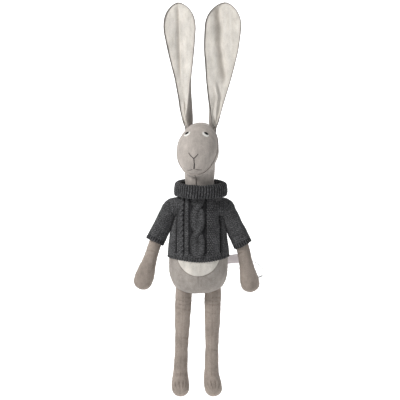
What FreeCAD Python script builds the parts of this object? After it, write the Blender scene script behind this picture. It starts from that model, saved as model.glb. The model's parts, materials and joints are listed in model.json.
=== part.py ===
"""Soft toy bunny with long upright ears, slim limbs and a roll-neck sweater.

The toy is held upright, with its arms and legs hanging. The frame has +Z up and the toy faces -Y, so its own
left side is +X. The origin is the centre of the waist, where a hand or a doll stand holds it. Each stuffed part
is a fabric cover cut into sewn panels round its own stuffing. Limbs, ears and neck turn on balls: the gathered
end of each one is a knot of fabric inside, which the part turns about one way, while the knot turns the other way
in the body. All sizes are in millimetres. Heights named *_UP are measured from the tips of the toes.
"""

import FreeCAD, Part
import math
import os

from FreeCAD import Vector

# ---- driving sizes -------------------------------------------------------------------------------------------
WAIST_UP = 205.0            # height of the origin above the toes
COVER = 1.6                 # velour cover, with its seam allowance
FILL_GAP = 0.15             # between a cover and its stuffing, so that they never share volume
MOVE_GAP = 0.4              # between parts that turn against each other
PATCH = 0.7                 # thickness of stitching and of sewn-on patches
FAR = 900.0                 # side of a half-space, larger than the toy

# Torso: radius across the toy at heights above the toes. Its depth is TORSO_DEPTH times its width.
TORSO_DEPTH = 0.80
TORSO_PROFILE = [(24.0, 160.6), (36.0, 168.0), (42.5, 182.0), (45.0, 206.0), (41.2, 236.0), (35.6, 255.0),
                 (29.2, 271.0), (24.8, 287.0), (20.5, 299.0)]
TORSO_BOTTOM_UP, TORSO_TOP_UP = 158.0, 303.0
BELLY_PATCH_UP, BELLY_PATCH_WIDE, BELLY_PATCH_TALL = 221.0, 66.0, 72.0

# Sweater: the body follows the torso at SWEATER_EASE, and its wall is KNIT thick.
SWEATER_EASE = 1.5
KNIT = 2.4
SWEATER_PROFILE = [(48.6, 216.2), (47.4, 226.0), (44.6, 239.0), (39.8, 254.0), (33.4, 269.0), (28.8, 285.0),
                   (27.6, 297.0), (26.8, 304.0), (26.6, 312.0)]
HEM_TOP_STATION = 1         # the rib at the hem ends at this station of SWEATER_PROFILE
COLLAR_UP, COLLAR_TALL = 318.6, 20.5
COLLAR_OUTER, COLLAR_INNER = 39.5, 29.5
COLLAR_X, COLLAR_Y = 3.5, 0.0
COLLAR_DEPTH = 0.91         # depth over width
COLLAR_LEAN = 5.0           # degrees, the back edge higher than the front

# Neck and head. The head's own frame has its origin at the centre of the neck ball.
NECK = Vector(1.5, 2.0, 320.0 - WAIST_UP)
NECK_BALL, NECK_CORE, NECK_STEM = 17.0, 13.4, 11.0
NECK_STEM_UP = 296.0
HEAD_TURN = -12.0           # degrees about Z: at rest the face looks a little to the toy's right
SKULL = Vector(0.0, -9.0, 57.0)
SKULL_WIDE, SKULL_DEEP, SKULL_LONG = 31.3, 30.0, 44.0
SKULL_LEAN = 30.0           # degrees, the muzzle end forward of the crown
FACE_SEAM = 5.0             # the face panel starts this far in front of the skull's middle
JAW_BOTTOM, JAW_TOP = (20.3, -6.0), (26.2, 58.0)      # radius and height of the neck part of the head
EYE = (14.7, 80.5)          # centre, across and up, in the head's frame
EYE_WHITE, EYE_PUPIL = (5.4, 4.0), (4.0, 1.9)         # half width and half height
EYE_SLANT = 31.0
NOSE_TIP, NOSE_WING = (0.4, 43.7), (7.4, 51.0)
LIP = (0.0, 28.0)
MOUTH_END = (10.6, 24.8)
THREAD = 1.5

# Ears: half widths along the ear, as shares of its length and of its largest half width.
EAR_BASE = Vector(18.0, 8.0, 91.0)
EAR_LONG = 188.5
EAR_HALF_WIDE = {"left": 27.7, "right": 24.4}
EAR_SHAPE = {
    "left": [(0.05, 0.22), (0.15, 0.35), (0.25, 0.48), (0.375, 0.645), (0.505, 0.80), (0.633, 0.94), (0.78, 1.0),
             (0.87, 0.96), (0.93, 0.77), (0.975, 0.46)],
    "right": [(0.05, 0.24), (0.15, 0.38), (0.27, 0.42), (0.40, 0.52), (0.505, 0.67), (0.633, 0.84), (0.78, 1.0),
              (0.87, 0.97), (0.93, 0.72), (0.975, 0.38)],
}
EAR_LEAN = 5.0              # degrees outwards at rest
EAR_BALL, EAR_KNOT = 8.0, 5.0
EAR_CURL = 45.0             # radius of the curl across the ear, hollow to the front
EAR_LAYER = 1.4
EAR_LAYER_GAP = 0.12

# Arms: from the shoulder, the upper arm leans out and the forearm hangs closer to plumb.
SHOULDER = Vector(40.5, 0.0, 289.5 - WAIST_UP)
ARM_BALL, ARM_ELBOW, ARM_HAND = 10.4, 10.6, 14.8       # radii
ARM_KNOT = 6.0
UPPER_ARM = {"left": 58.5, "right": 51.0}
UPPER_LEAN = {"left": 25.5, "right": 26.5}             # degrees from plumb
FOREARM = {"left": 63.8, "right": 69.0}
FORE_LEAN = {"left": 11.5, "right": 17.5}
SLEEVE_LONG = {"left": 64.0, "right": 58.0}
CUFF_LONG = 9.0
SLEEVE_BALL, SLEEVE_END = 13.2, 15.2
SLEEVE_WALL = 2.3
SLEEVE_SPACE = 0.7          # kept clear of the sweater's body round each hanging sleeve

# Legs and feet: radii down the leg, and a foot that droops from the ankle.
HIP = Vector(23.3, 1.0, 146.6 - WAIST_UP)
LEG_TOP, LEG_KNEE, LEG_ANKLE = 12.5, 10.4, 11.2
KNEE_DROP, ANKLE_DROP = 77.0, 121.6
LEG_KNOT = 6.5
LEG_LEAN = {"left": -0.9, "right": 2.2}                # degrees outwards
FOOT_TURN = {"left": 10.0, "right": -3.0}              # degrees, toes outwards
TOE, TOE_FORWARD = 13.7, 22.0                          # radius of the toes, and their reach from the ankle

# Woven label in the left side seam, and the tag loop on it.
LABEL_ROOT = Vector(44.2, 11.0, 208.7 - WAIST_UP)
LABEL_LONG, LABEL_TALL, LABEL_THICK = 24.0, 13.6, 0.7
LABEL_SWEEP = 40.0          # degrees that the label points back of the side
LOOP_RADIUS = 0.55
LOOP_FOLD = 0.45            # share of the shorter run that a tangent arc takes at each end
LOOP_ROUTE = [(62.6, 26.4, 209.3), (70.4, 31.4, 207.6), (79.8, 36.2, 204.4), (89.6, 39.8, 199.6),
              (98.2, 42.0, 191.8), (102.8, 42.8, 184.6), (100.2, 42.2, 178.8), (92.2, 40.6, 175.8),
              (81.4, 37.4, 178.4), (71.8, 33.4, 185.6), (65.2, 29.2, 195.0), (62.6, 26.4, 203.8)]
LOCK_LONG, LOCK_RADIUS = 6.0, 1.3

SIDES = {"left": 1.0, "right": -1.0}
parts = {}


# ---- small helpers -------------------------------------------------------------------------------------------
def level(height_above_toes):
    """Z in the toy's frame for a height above the toes."""
    return height_above_toes - WAIST_UP


def ball(centre, radius):
    return Part.makeSphere(radius, centre)


def taper(start, end, start_radius, end_radius):
    """A cone, or a cylinder if the radii agree, between two points."""
    along = end - start
    if abs(start_radius - end_radius) < 1e-6:
        return Part.makeCylinder(start_radius, along.Length, start, along)
    return Part.makeCone(start_radius, end_radius, along.Length, start, along)


def beyond(point, normal):
    """All space on the side of a plane that its normal points to."""
    block = Part.makeBox(FAR, FAR, FAR, Vector(-FAR / 2, -FAR / 2, 0))
    block.Placement = FreeCAD.Placement(point, FreeCAD.Rotation(Vector(0, 0, 1), normal))
    return block


def fuse(*shapes):
    whole = shapes[0]
    for shape in shapes[1:]:
        whole = whole.fuse(shape)
    return whole.removeSplitter()


def scaled(shape, x=1.0, y=1.0, z=1.0):
    matrix = FreeCAD.Matrix()
    matrix.scale(x, y, z)
    return shape.transformGeometry(matrix)


def ellipsoid(half_wide, half_deep, half_tall):
    """An ellipsoid at the origin whose poles and seam stay clear of the planes that panels are cut on."""
    globe = ball(Vector(0, 0, 0), 1.0)
    globe.rotate(Vector(0, 0, 0), Vector(0, 1, 0), 90)
    globe.rotate(Vector(0, 0, 0), Vector(1, 0, 0), 70)
    return scaled(globe, half_wide, half_deep, half_tall)


def turned(outline):
    """The solid of revolution about Z of a closed outline in the XZ plane."""
    return Part.Face(outline).revolve(Vector(0, 0, 0), Vector(0, 0, 1), 360)


def smooth_edge(points, first=None, last=None):
    curve = Part.BSplineCurve()
    if first is None:
        curve.interpolate(points)
    else:
        curve.interpolate(Points=points, InitialTangent=first, FinalTangent=last)
    return curve.toShape()


def straight_edge(start, end):
    return Part.makeLine(start, end)


def elliptic_prism(centre_x, centre_z, half_wide, half_tall, slant=0.0):
    """An elliptic cylinder that runs forward from the XZ plane, slanted in that plane."""
    disc = scaled(Part.makeCylinder(1.0, FAR, Vector(0, 0, 0), Vector(0, -1, 0)), half_wide, 1.0, half_tall)
    disc.rotate(Vector(0, 0, 0), Vector(0, -1, 0), slant)
    disc.translate(Vector(centre_x, 0, centre_z))
    return disc


def stroke_prism(start, end, width):
    """A flat bar that runs forward from the XZ plane over one stitched stroke."""
    a, b = Vector(start[0], 0, start[1]), Vector(end[0], 0, end[1])
    bar = Part.makeBox((b - a).Length, FAR, width, Vector(0, -FAR, -width / 2))
    bar.rotate(Vector(0, 0, 0), Vector(0, 1, 0), -math.degrees(math.atan2(b.z - a.z, b.x - a.x)))
    bar.translate(a)
    return bar


def keep(name, shape):
    """Records one node, as a compound of its separate solids."""
    solids = [solid for solid in shape.Solids if solid.Volume > 0.01]
    assert solids and all(solid.isValid() for solid in solids), name
    parts[name] = solids[0] if len(solids) == 1 else Part.makeCompound(solids)


# ---- torso ---------------------------------------------------------------------------------------------------
def torso_solid(inset=0.0):
    """The pear-shaped torso, drawn in by inset."""
    bottom = Vector(0, 0, level(TORSO_BOTTOM_UP) + inset)
    top = Vector(0, 0, level(TORSO_TOP_UP) - inset)
    stations = [Vector(r - inset, 0, level(up)) for r, up in TORSO_PROFILE]
    stations[0].z += inset
    side = smooth_edge([bottom, *stations, top], Vector(1, 0, 0), Vector(-1, 0, 0))
    return scaled(turned(Part.Wire([side, straight_edge(top, bottom)])), y=TORSO_DEPTH)


def shoulder_room(side):
    """Space that the sleeve's round end turns in."""
    return ball(Vector(side * SHOULDER.x, SHOULDER.y, SHOULDER.z), SLEEVE_BALL + MOVE_GAP)


def sleeve_room(name, side):
    """Space for the sleeve at the side of the sweater's body."""
    return sleeve_solid(name, side, -SLEEVE_SPACE).fuse(shoulder_room(side))


def hip_room(side):
    """Space that the leg's round end turns in, just under the torso."""
    return ball(Vector(side * HIP.x, HIP.y, HIP.z), LEG_TOP + MOVE_GAP)


def neck_room():
    hole = Vector(NECK.x, NECK.y, level(NECK_STEM_UP) - MOVE_GAP)
    return taper(hole, hole + Vector(0, 0, 40), NECK_STEM + MOVE_GAP, NECK_STEM + MOVE_GAP)


def make_torso():
    rooms = [neck_room()]
    for side in SIDES.values():
        rooms += [shoulder_room(side), hip_room(side)]
    cover = torso_solid().cut(torso_solid(COVER)).cut(rooms)
    front = cover.common(beyond(Vector(0, 0, 0), Vector(0, -1, 0)))
    keep("torso_back", cover.common(beyond(Vector(0, 0, 0), Vector(0, 1, 0))))
    for name, side in SIDES.items():
        keep(f"torso_front_{name}", front.common(beyond(Vector(0, 0, 0), Vector(side, 0, 0))))
    keep("torso_stuffing", torso_solid(COVER + FILL_GAP).cut(rooms))
    patch = torso_solid(-PATCH).cut(torso_solid())
    prism = elliptic_prism(0, level(BELLY_PATCH_UP), BELLY_PATCH_WIDE / 2, BELLY_PATCH_TALL / 2)
    keep("belly_patch", patch.common(prism))


# ---- sweater -------------------------------------------------------------------------------------------------
def knit_wall(first, last):
    """The sweater's body between two stations of its profile, before it is cut for the arms."""
    stations = [Vector(r, 0, level(up)) for r, up in SWEATER_PROFILE[first:last + 1]]
    inner = [point - Vector(KNIT, 0, 0) for point in stations]
    edges = [smooth_edge(stations), straight_edge(stations[-1], inner[-1]),
             smooth_edge(inner), straight_edge(inner[0], stations[0])]
    return scaled(turned(Part.Wire(Part.__sortEdges__(edges))), y=TORSO_DEPTH + 0.01)


def make_sweater():
    body = knit_wall(HEM_TOP_STATION, len(SWEATER_PROFILE) - 1)
    for name, side in SIDES.items():
        body = body.cut(sleeve_room(name, side))
    keep("sweater_front", body.common(beyond(Vector(0, 0, 0), Vector(0, -1, 0))))
    keep("sweater_back", body.common(beyond(Vector(0, 0, 0), Vector(0, 1, 0))))
    keep("sweater_hem", knit_wall(0, HEM_TOP_STATION))
    make_collar()


def make_collar():
    """The rolled collar: a ring with rounded edges, a little higher at the back."""
    middle, half = (COLLAR_OUTER + COLLAR_INNER) / 2, (COLLAR_OUTER - COLLAR_INNER) / 2
    flat = COLLAR_TALL / 2 - half
    corners = [Vector(middle - half, 0, -flat), Vector(middle - half, 0, flat),
               Vector(middle + half, 0, flat), Vector(middle + half, 0, -flat)]
    roll = Part.Arc(corners[1], Vector(middle, 0, flat + half), corners[2]).toShape()
    tuck = Part.Arc(corners[3], Vector(middle, 0, -flat - half), corners[0]).toShape()
    outline = Part.Wire([straight_edge(corners[0], corners[1]), roll, straight_edge(corners[2], corners[3]), tuck])
    ring = scaled(turned(outline), y=COLLAR_DEPTH)
    ring.rotate(Vector(0, 0, 0), Vector(1, 0, 0), COLLAR_LEAN)
    ring.translate(Vector(COLLAR_X, COLLAR_Y, level(COLLAR_UP)))
    keep("sweater_collar", ring)


# ---- neck and head -------------------------------------------------------------------------------------------
def make_neck():
    stem_end = Vector(NECK.x, NECK.y, level(NECK_STEM_UP))
    post = fuse(ball(NECK, NECK_BALL), taper(stem_end, NECK, NECK_STEM, NECK_STEM))
    keep("neck_cover", post.cut(ball(NECK, NECK_CORE)))
    keep("neck_stuffing", ball(NECK, NECK_CORE - MOVE_GAP))


def set_head(shape):
    """Moves a shape from the head's own frame to its place on the neck."""
    shape = shape.copy()
    shape.rotate(Vector(0, 0, 0), Vector(0, 0, 1), HEAD_TURN)
    shape.translate(NECK)
    return shape


def head_solid(inset=0.0):
    """Skull, jaw and nape, in the head's own frame, drawn in by inset."""
    skull = ellipsoid(SKULL_WIDE - inset, SKULL_DEEP - inset, SKULL_LONG - inset)
    skull.rotate(Vector(0, 0, 0), Vector(1, 0, 0), -SKULL_LEAN)
    skull.translate(SKULL)
    (low_radius, low), (high_radius, high) = JAW_BOTTOM, JAW_TOP
    nape = Vector(0, 0, high)
    jaw = taper(Vector(0, 0, low + inset), nape, low_radius - inset, high_radius - inset)
    return fuse(skull, jaw, ball(nape, high_radius - inset))


def make_head():
    rooms = [ball(Vector(0, 0, 0), NECK_BALL + MOVE_GAP)]
    for side in SIDES.values():
        rooms.append(ball(Vector(side * EAR_BASE.x, EAR_BASE.y, EAR_BASE.z), EAR_BALL + MOVE_GAP))
    outer = head_solid()
    cover = outer.cut(head_solid(COVER)).cut(rooms)
    lean = math.radians(SKULL_LEAN)
    face_side = beyond(SKULL + Vector(0, -FACE_SEAM, 0), Vector(0, -math.cos(lean), math.sin(lean)))
    face_end = beyond(SKULL - Vector(0, 0, SKULL_LONG * math.cos(lean)), Vector(0, 0, 1))
    keep("head_face_panel", set_head(cover.common(face_side).common(face_end)))
    rest = cover.cut(face_side.common(face_end))
    for name, side in SIDES.items():
        keep(f"head_side_{name}", set_head(rest.common(beyond(Vector(0, 0, 0), Vector(side, 0, 0)))))
    keep("head_stuffing", set_head(head_solid(COVER + FILL_GAP).cut(rooms)))
    make_face(outer)


def make_face(outer):
    """Stitched eyes, nose and mouth, each a thin raised patch on the cover."""
    low_patch = head_solid(-PATCH).cut(outer)
    high_patch = head_solid(-2 * PATCH).cut(head_solid(-PATCH))
    for name, side in SIDES.items():
        slant = -side * EYE_SLANT
        white = elliptic_prism(side * EYE[0], EYE[1], *EYE_WHITE, slant)
        pupil = elliptic_prism(side * EYE[0], EYE[1] + EYE_PUPIL[1] * 0.7, *EYE_PUPIL, slant)
        keep(f"eye_white_{name}", set_head(low_patch.common(white)))
        keep(f"eye_pupil_{name}", set_head(high_patch.common(pupil).common(white)))
    wings = [stroke_prism(NOSE_TIP, (side * NOSE_WING[0], NOSE_WING[1]), THREAD) for side in SIDES.values()]
    drop = stroke_prism((LIP[0], LIP[1]), (NOSE_TIP[0], NOSE_TIP[1] - THREAD), THREAD)
    keep("nose_stitches", set_head(low_patch.common(fuse(*wings, drop))))
    lips = [stroke_prism((side * 1.4, LIP[1] - 1.6), (side * MOUTH_END[0], MOUTH_END[1]), THREAD * 0.7)
            for side in SIDES.values()]
    keep("mouth_stitches", set_head(low_patch.common(Part.makeCompound(lips))))


# ---- ears ----------------------------------------------------------------------------------------------------
def ear_outline(name, inset, start):
    """The ear's flat outline, extruded through its depth, from the height start to its tip."""
    half_wide = EAR_HALF_WIDE[name]
    right = [Vector(half_wide * wide - inset, 0, EAR_LONG * along) for along, wide in EAR_SHAPE[name]]
    right.insert(0, Vector(right[0].x, 0, start))
    tip = Vector(0, 0, EAR_LONG - inset)
    left = [Vector(-point.x, 0, point.z) for point in reversed(right)]
    rim = smooth_edge([*right, tip, *left])
    face = Part.Face(Part.Wire([rim, straight_edge(left[-1], right[0])]))
    return face.extrude(Vector(0, -60, 0)).fuse(face.extrude(Vector(0, 20, 0)))


def curled(outline, layer):
    """One layer of the ear, counted from the front, bent round the curl."""
    inner = EAR_CURL + (layer - 1.5) * EAR_LAYER + layer * EAR_LAYER_GAP
    axis = Vector(0, -EAR_CURL, -50)
    tube = Part.makeCylinder(inner + EAR_LAYER, FAR, axis).cut(Part.makeCylinder(inner, FAR, axis))
    back_half = tube.common(beyond(Vector(0, -EAR_CURL, 0), Vector(0, 1, 0)))
    return outline.common(back_half)


def set_ear(shape, side):
    """Moves a shape from the ear's own frame, upright on its ball, to its place on the head."""
    shape = shape.copy()
    shape.rotate(Vector(0, 0, 0), Vector(0, 1, 0), side * EAR_LEAN)
    shape.translate(Vector(side * EAR_BASE.x, EAR_BASE.y, EAR_BASE.z))
    return set_head(shape)


def make_ear(name, side):
    origin = Vector(0, 0, 0)
    above_ball = EAR_BALL + 1.4
    root = ball(origin, EAR_BALL).cut(ball(origin, EAR_KNOT + MOVE_GAP))
    back = curled(ear_outline(name, 0.0, EAR_KNOT + MOVE_GAP), 2).cut(ball(origin, EAR_KNOT + MOVE_GAP))
    keep(f"ear_back_{name}", set_ear(fuse(root, back), side))
    keep(f"ear_batting_{name}", set_ear(curled(ear_outline(name, 2.4, above_ball), 1), side))
    keep(f"ear_lining_{name}", set_ear(curled(ear_outline(name, 1.0, above_ball), 0), side))
    keep(f"ear_knot_{name}", set_ear(ball(origin, EAR_KNOT), side))


# ---- arms and sleeves ----------------------------------------------------------------------------------------
def lean_vector(side, degrees, length):
    """A vector that hangs down, leaning out to the side by an angle."""
    angle = math.radians(degrees)
    return Vector(side * math.sin(angle), 0, -math.cos(angle)) * length


def arm_points(name, side):
    shoulder = Vector(side * SHOULDER.x, SHOULDER.y, SHOULDER.z)
    elbow = shoulder + lean_vector(side, UPPER_LEAN[name], UPPER_ARM[name])
    return shoulder, elbow, elbow + lean_vector(side, FORE_LEAN[name], FOREARM[name])


def arm_solid(name, side, inset=0.0):
    shoulder, elbow, hand = arm_points(name, side)
    top, middle, end = ARM_BALL - inset, ARM_ELBOW - inset, ARM_HAND - inset
    return fuse(ball(shoulder, top), taper(shoulder, elbow, top, middle), ball(elbow, middle),
                taper(elbow, hand, middle, end), ball(hand, end))


def sleeve_solid(name, side, inset=0.0):
    """The sleeve's outside, or its inside if inset by the wall."""
    shoulder = arm_points(name, side)[0]
    end = shoulder + lean_vector(side, UPPER_LEAN[name], SLEEVE_LONG[name] + inset * 2)
    top = SLEEVE_BALL - inset
    return fuse(ball(shoulder, top), taper(shoulder, end, top, SLEEVE_END - inset))


def make_arm(name, side):
    shoulder = arm_points(name, side)[0]
    knot_room = ball(shoulder, ARM_KNOT + MOVE_GAP)
    cover = arm_solid(name, side).cut(arm_solid(name, side, COVER))
    keep(f"arm_front_{name}", cover.common(beyond(shoulder, Vector(0, -1, 0))))
    keep(f"arm_back_{name}", cover.common(beyond(shoulder, Vector(0, 1, 0))))
    keep(f"arm_stuffing_{name}", arm_solid(name, side, COVER + FILL_GAP).cut(knot_room))
    keep(f"arm_knot_{name}", ball(shoulder, ARM_KNOT))
    knit = sleeve_solid(name, side).cut(sleeve_solid(name, side, SLEEVE_WALL))
    cuff_start = shoulder + lean_vector(side, UPPER_LEAN[name], SLEEVE_LONG[name] - CUFF_LONG)
    cuff_side = beyond(cuff_start, lean_vector(side, UPPER_LEAN[name], 1.0))
    keep(f"sleeve_{name}", knit.cut(cuff_side))
    keep(f"cuff_{name}", knit.common(cuff_side))


# ---- legs ----------------------------------------------------------------------------------------------------
def leg_solid(name, side, inset=0.0):
    """One leg with its foot, hanging from the hip."""
    hip = Vector(0, 0, 0)
    knee, ankle = Vector(0, 0, -KNEE_DROP), Vector(0, 0, -ANKLE_DROP)
    turn = math.radians(side * FOOT_TURN[name])
    toes = Vector(math.sin(turn) * TOE_FORWARD, -math.cos(turn) * TOE_FORWARD, level(TOE) - HIP.z)
    top, middle, end = LEG_TOP - inset, LEG_KNEE - inset, LEG_ANKLE - inset
    column = fuse(ball(hip, top), taper(hip, knee, top, middle), taper(knee, ankle, middle, end), ball(ankle, end))
    foot = fuse(taper(ankle, toes, end, TOE - inset), ball(toes, TOE - inset))
    return set_leg(fuse(column, foot), name, side)


def set_leg(shape, name, side):
    """Moves a shape from the leg's own frame to its place under the torso."""
    shape = shape.copy()
    shape.rotate(Vector(0, 0, 0), Vector(0, 1, 0), -side * LEG_LEAN[name])
    shape.translate(Vector(side * HIP.x, HIP.y, HIP.z))
    return shape


def make_leg(name, side):
    hip = Vector(side * HIP.x, HIP.y, HIP.z)
    seam = set_leg(beyond(Vector(0, 0, 0), Vector(side, 0, 0)), name, side)
    cover = leg_solid(name, side).cut(leg_solid(name, side, COVER))
    keep(f"leg_outer_{name}", cover.common(seam))
    keep(f"leg_inner_{name}", cover.cut(seam))
    keep(f"leg_stuffing_{name}", leg_solid(name, side, COVER + FILL_GAP).cut(ball(hip, LEG_KNOT + MOVE_GAP)))
    keep(f"leg_knot_{name}", ball(hip, LEG_KNOT))


# ---- label and tag loop --------------------------------------------------------------------------------------
def rounded_path(points):
    """Straight runs joined by tangent arcs, each as large as its two runs allow. Returns the wire and its radii."""
    edges, radii, start = [], [], points[0]
    for before, corner, after in zip(points, points[1:], points[2:]):
        back, ahead = before - corner, after - corner
        reach = LOOP_FOLD * min(back.Length, ahead.Length)
        back.normalize()
        ahead.normalize()
        half_turn = (math.pi - back.getAngle(ahead)) / 2
        radius = reach / math.tan(half_turn)
        enter, leave = corner + back * reach, corner + ahead * reach
        inward = back + ahead
        inward.normalize()
        middle = corner + inward * (radius / math.cos(half_turn) - radius)
        edges += [straight_edge(start, enter), Part.Arc(enter, middle, leave).toShape()]
        radii.append(radius)
        start = leave
    edges.append(straight_edge(start, points[-1]))
    return Part.Wire(edges), radii


def make_label():
    ribbon = Part.makeBox(LABEL_LONG, LABEL_THICK, LABEL_TALL, Vector(0, -LABEL_THICK / 2, -LABEL_TALL / 2))
    ribbon.rotate(Vector(0, 0, 0), Vector(0, 0, 1), LABEL_SWEEP)
    ribbon.translate(LABEL_ROOT)
    route = [Vector(x, y, level(up)) for x, y, up in LOOP_ROUTE]
    path, radii = rounded_path(route)
    ring = Part.Wire([Part.makeCircle(LOOP_RADIUS, route[0], route[1] - route[0])])
    loop = path.makePipeShell([ring], True, False)
    tube = loop if loop.Volume > 0 else loop.reversed()
    print("loop length", round(path.Length, 2), "volume over section x length",
          round(tube.Volume / (math.pi * LOOP_RADIUS ** 2 * path.Length), 4),
          "arc radii", [round(radius, 1) for radius in radii])
    lock_at, lock_next = route[6], route[7]
    along = lock_next - lock_at
    along.normalize()
    middle = (lock_at + lock_next) / 2
    lock_start, lock_end = middle - along * (LOCK_LONG / 2), middle + along * (LOCK_LONG / 2)
    lock = taper(lock_start, lock_end, LOCK_RADIUS, LOCK_RADIUS)
    keep("tag_loop", tube.cut(ribbon))
    keep("tag_loop_lock", lock.cut(tube))
    keep("care_label", ribbon)


# ---- the whole toy -------------------------------------------------------------------------------------------
def main():
    make_torso()
    make_sweater()
    make_neck()
    make_head()
    for name, side in SIDES.items():
        make_ear(name, side)
        make_arm(name, side)
        make_leg(name, side)
    make_label()
    os.makedirs("parts", exist_ok=True)
    for name, shape in parts.items():
        shape.exportStep(f"parts/{name}.step")
    print(len(parts), "nodes")


main()
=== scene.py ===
"""Looks of the long-eared soft bunny in its knitted roll-neck sweater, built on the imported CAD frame.

Shapes are worked out in millimetres in the row frame (the origin is the waist) and turned into metres when a mesh
is made. Every stuffed part is a cover of sewn panels round its own stuffing, both from one loft. The sweater is a
set of fine grids whose relief is the stitches themselves.
"""

import json
import math

import bmesh
import bpy
import numpy as np
from mathutils import Matrix, Vector, noise
from mathutils.bvhtree import BVHTree


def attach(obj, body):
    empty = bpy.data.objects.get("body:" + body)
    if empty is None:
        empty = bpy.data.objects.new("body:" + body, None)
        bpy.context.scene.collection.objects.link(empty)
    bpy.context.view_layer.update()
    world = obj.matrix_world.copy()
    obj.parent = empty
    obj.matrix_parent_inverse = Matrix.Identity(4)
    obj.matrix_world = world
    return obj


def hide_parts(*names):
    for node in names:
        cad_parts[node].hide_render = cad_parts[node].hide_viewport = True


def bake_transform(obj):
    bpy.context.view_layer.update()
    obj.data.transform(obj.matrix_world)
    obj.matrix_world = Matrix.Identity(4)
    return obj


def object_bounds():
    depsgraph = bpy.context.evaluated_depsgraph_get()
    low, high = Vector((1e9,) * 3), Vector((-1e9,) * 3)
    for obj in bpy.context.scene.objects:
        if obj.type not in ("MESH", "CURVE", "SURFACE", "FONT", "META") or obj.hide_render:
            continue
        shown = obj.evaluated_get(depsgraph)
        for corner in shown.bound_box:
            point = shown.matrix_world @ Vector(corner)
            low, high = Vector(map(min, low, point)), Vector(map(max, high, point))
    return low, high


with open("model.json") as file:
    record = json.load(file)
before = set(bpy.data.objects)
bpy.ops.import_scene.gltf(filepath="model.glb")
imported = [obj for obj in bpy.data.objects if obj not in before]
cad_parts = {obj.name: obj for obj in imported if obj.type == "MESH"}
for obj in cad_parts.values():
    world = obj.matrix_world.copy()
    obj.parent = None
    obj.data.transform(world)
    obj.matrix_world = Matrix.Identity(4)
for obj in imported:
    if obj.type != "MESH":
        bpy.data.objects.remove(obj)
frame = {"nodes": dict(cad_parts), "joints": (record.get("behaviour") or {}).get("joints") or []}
CAD_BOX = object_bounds()

MM = 0.001
JOINT = {joint["name"]: np.array(joint["pos_m"]) / MM for joint in frame["joints"]}
SIDES = {"left": 1.0, "right": -1.0}
WAIST_UP = 205.0
TUCK = 1.3                      # how far a seam allowance turns in
FILL_INSET = 1.7                # stuffing below the cover's face
BAG_ROWS, BAG_COLS = 3, 4       # how coarse the cloth simulation's copy of a cover is
BAG_INSET, BAG_CAP = 0.8, 0.5   # how much smaller it starts, and how far a point may move
BAG_SLACK = -0.015              # spare cloth in it
BAG_FRAMES = 20


def new_object(name, data):
    obj = bpy.data.objects.new(name, data)
    bpy.context.scene.collection.objects.link(obj)
    return obj


# ---- camera, floor and light ---------------------------------------------------------------------------------
CAMERA_LENS = 142.0
CAMERA_UP = math.radians(5.0)       # how far it looks down
CAMERA_AWAY = 2.4                   # metres
CAMERA_TARGET = (2.3, 0.0, 95.4)


def add_camera():
    data = bpy.data.cameras.new("camera")
    data.sensor_width = 36.0
    data.lens = CAMERA_LENS
    data.clip_end = 20.0
    camera = new_object("camera", data)
    target = Vector(CAMERA_TARGET) * MM
    camera.location = target + Vector((0.0, -math.cos(CAMERA_UP), math.sin(CAMERA_UP))) * CAMERA_AWAY
    camera.rotation_euler = (math.radians(90.0) - CAMERA_UP, 0.0, 0.0)
    bpy.context.scene.camera = camera


def add_light(name, place, size, power, colour=(1.0, 1.0, 1.0)):
    data = bpy.data.lights.new(name, "AREA")
    data.shape = "DISK"
    data.size = size
    data.energy = power
    data.color = colour
    light = new_object(name, data)
    light.location = place
    aim = Vector((0.0, 0.0, 0.05)) - Vector(place)
    light.rotation_euler = aim.to_track_quat("-Z", "Y").to_euler()


def add_studio():
    world = bpy.data.worlds.new("studio")
    world.use_nodes = True
    background = world.node_tree.nodes["Background"]
    background.inputs["Color"].default_value = (0.96, 0.98, 1.0, 1.0)
    background.inputs["Strength"].default_value = 0.36
    bpy.context.scene.world = world
    bpy.context.scene.view_settings.view_transform = "Standard"
    add_light("key", (-1.8, -1.35, 1.8), 0.7, 58.0, (1.0, 0.99, 0.98))
    add_light("fill", (1.6, -1.8, 0.6), 1.4, 2.4)


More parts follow.
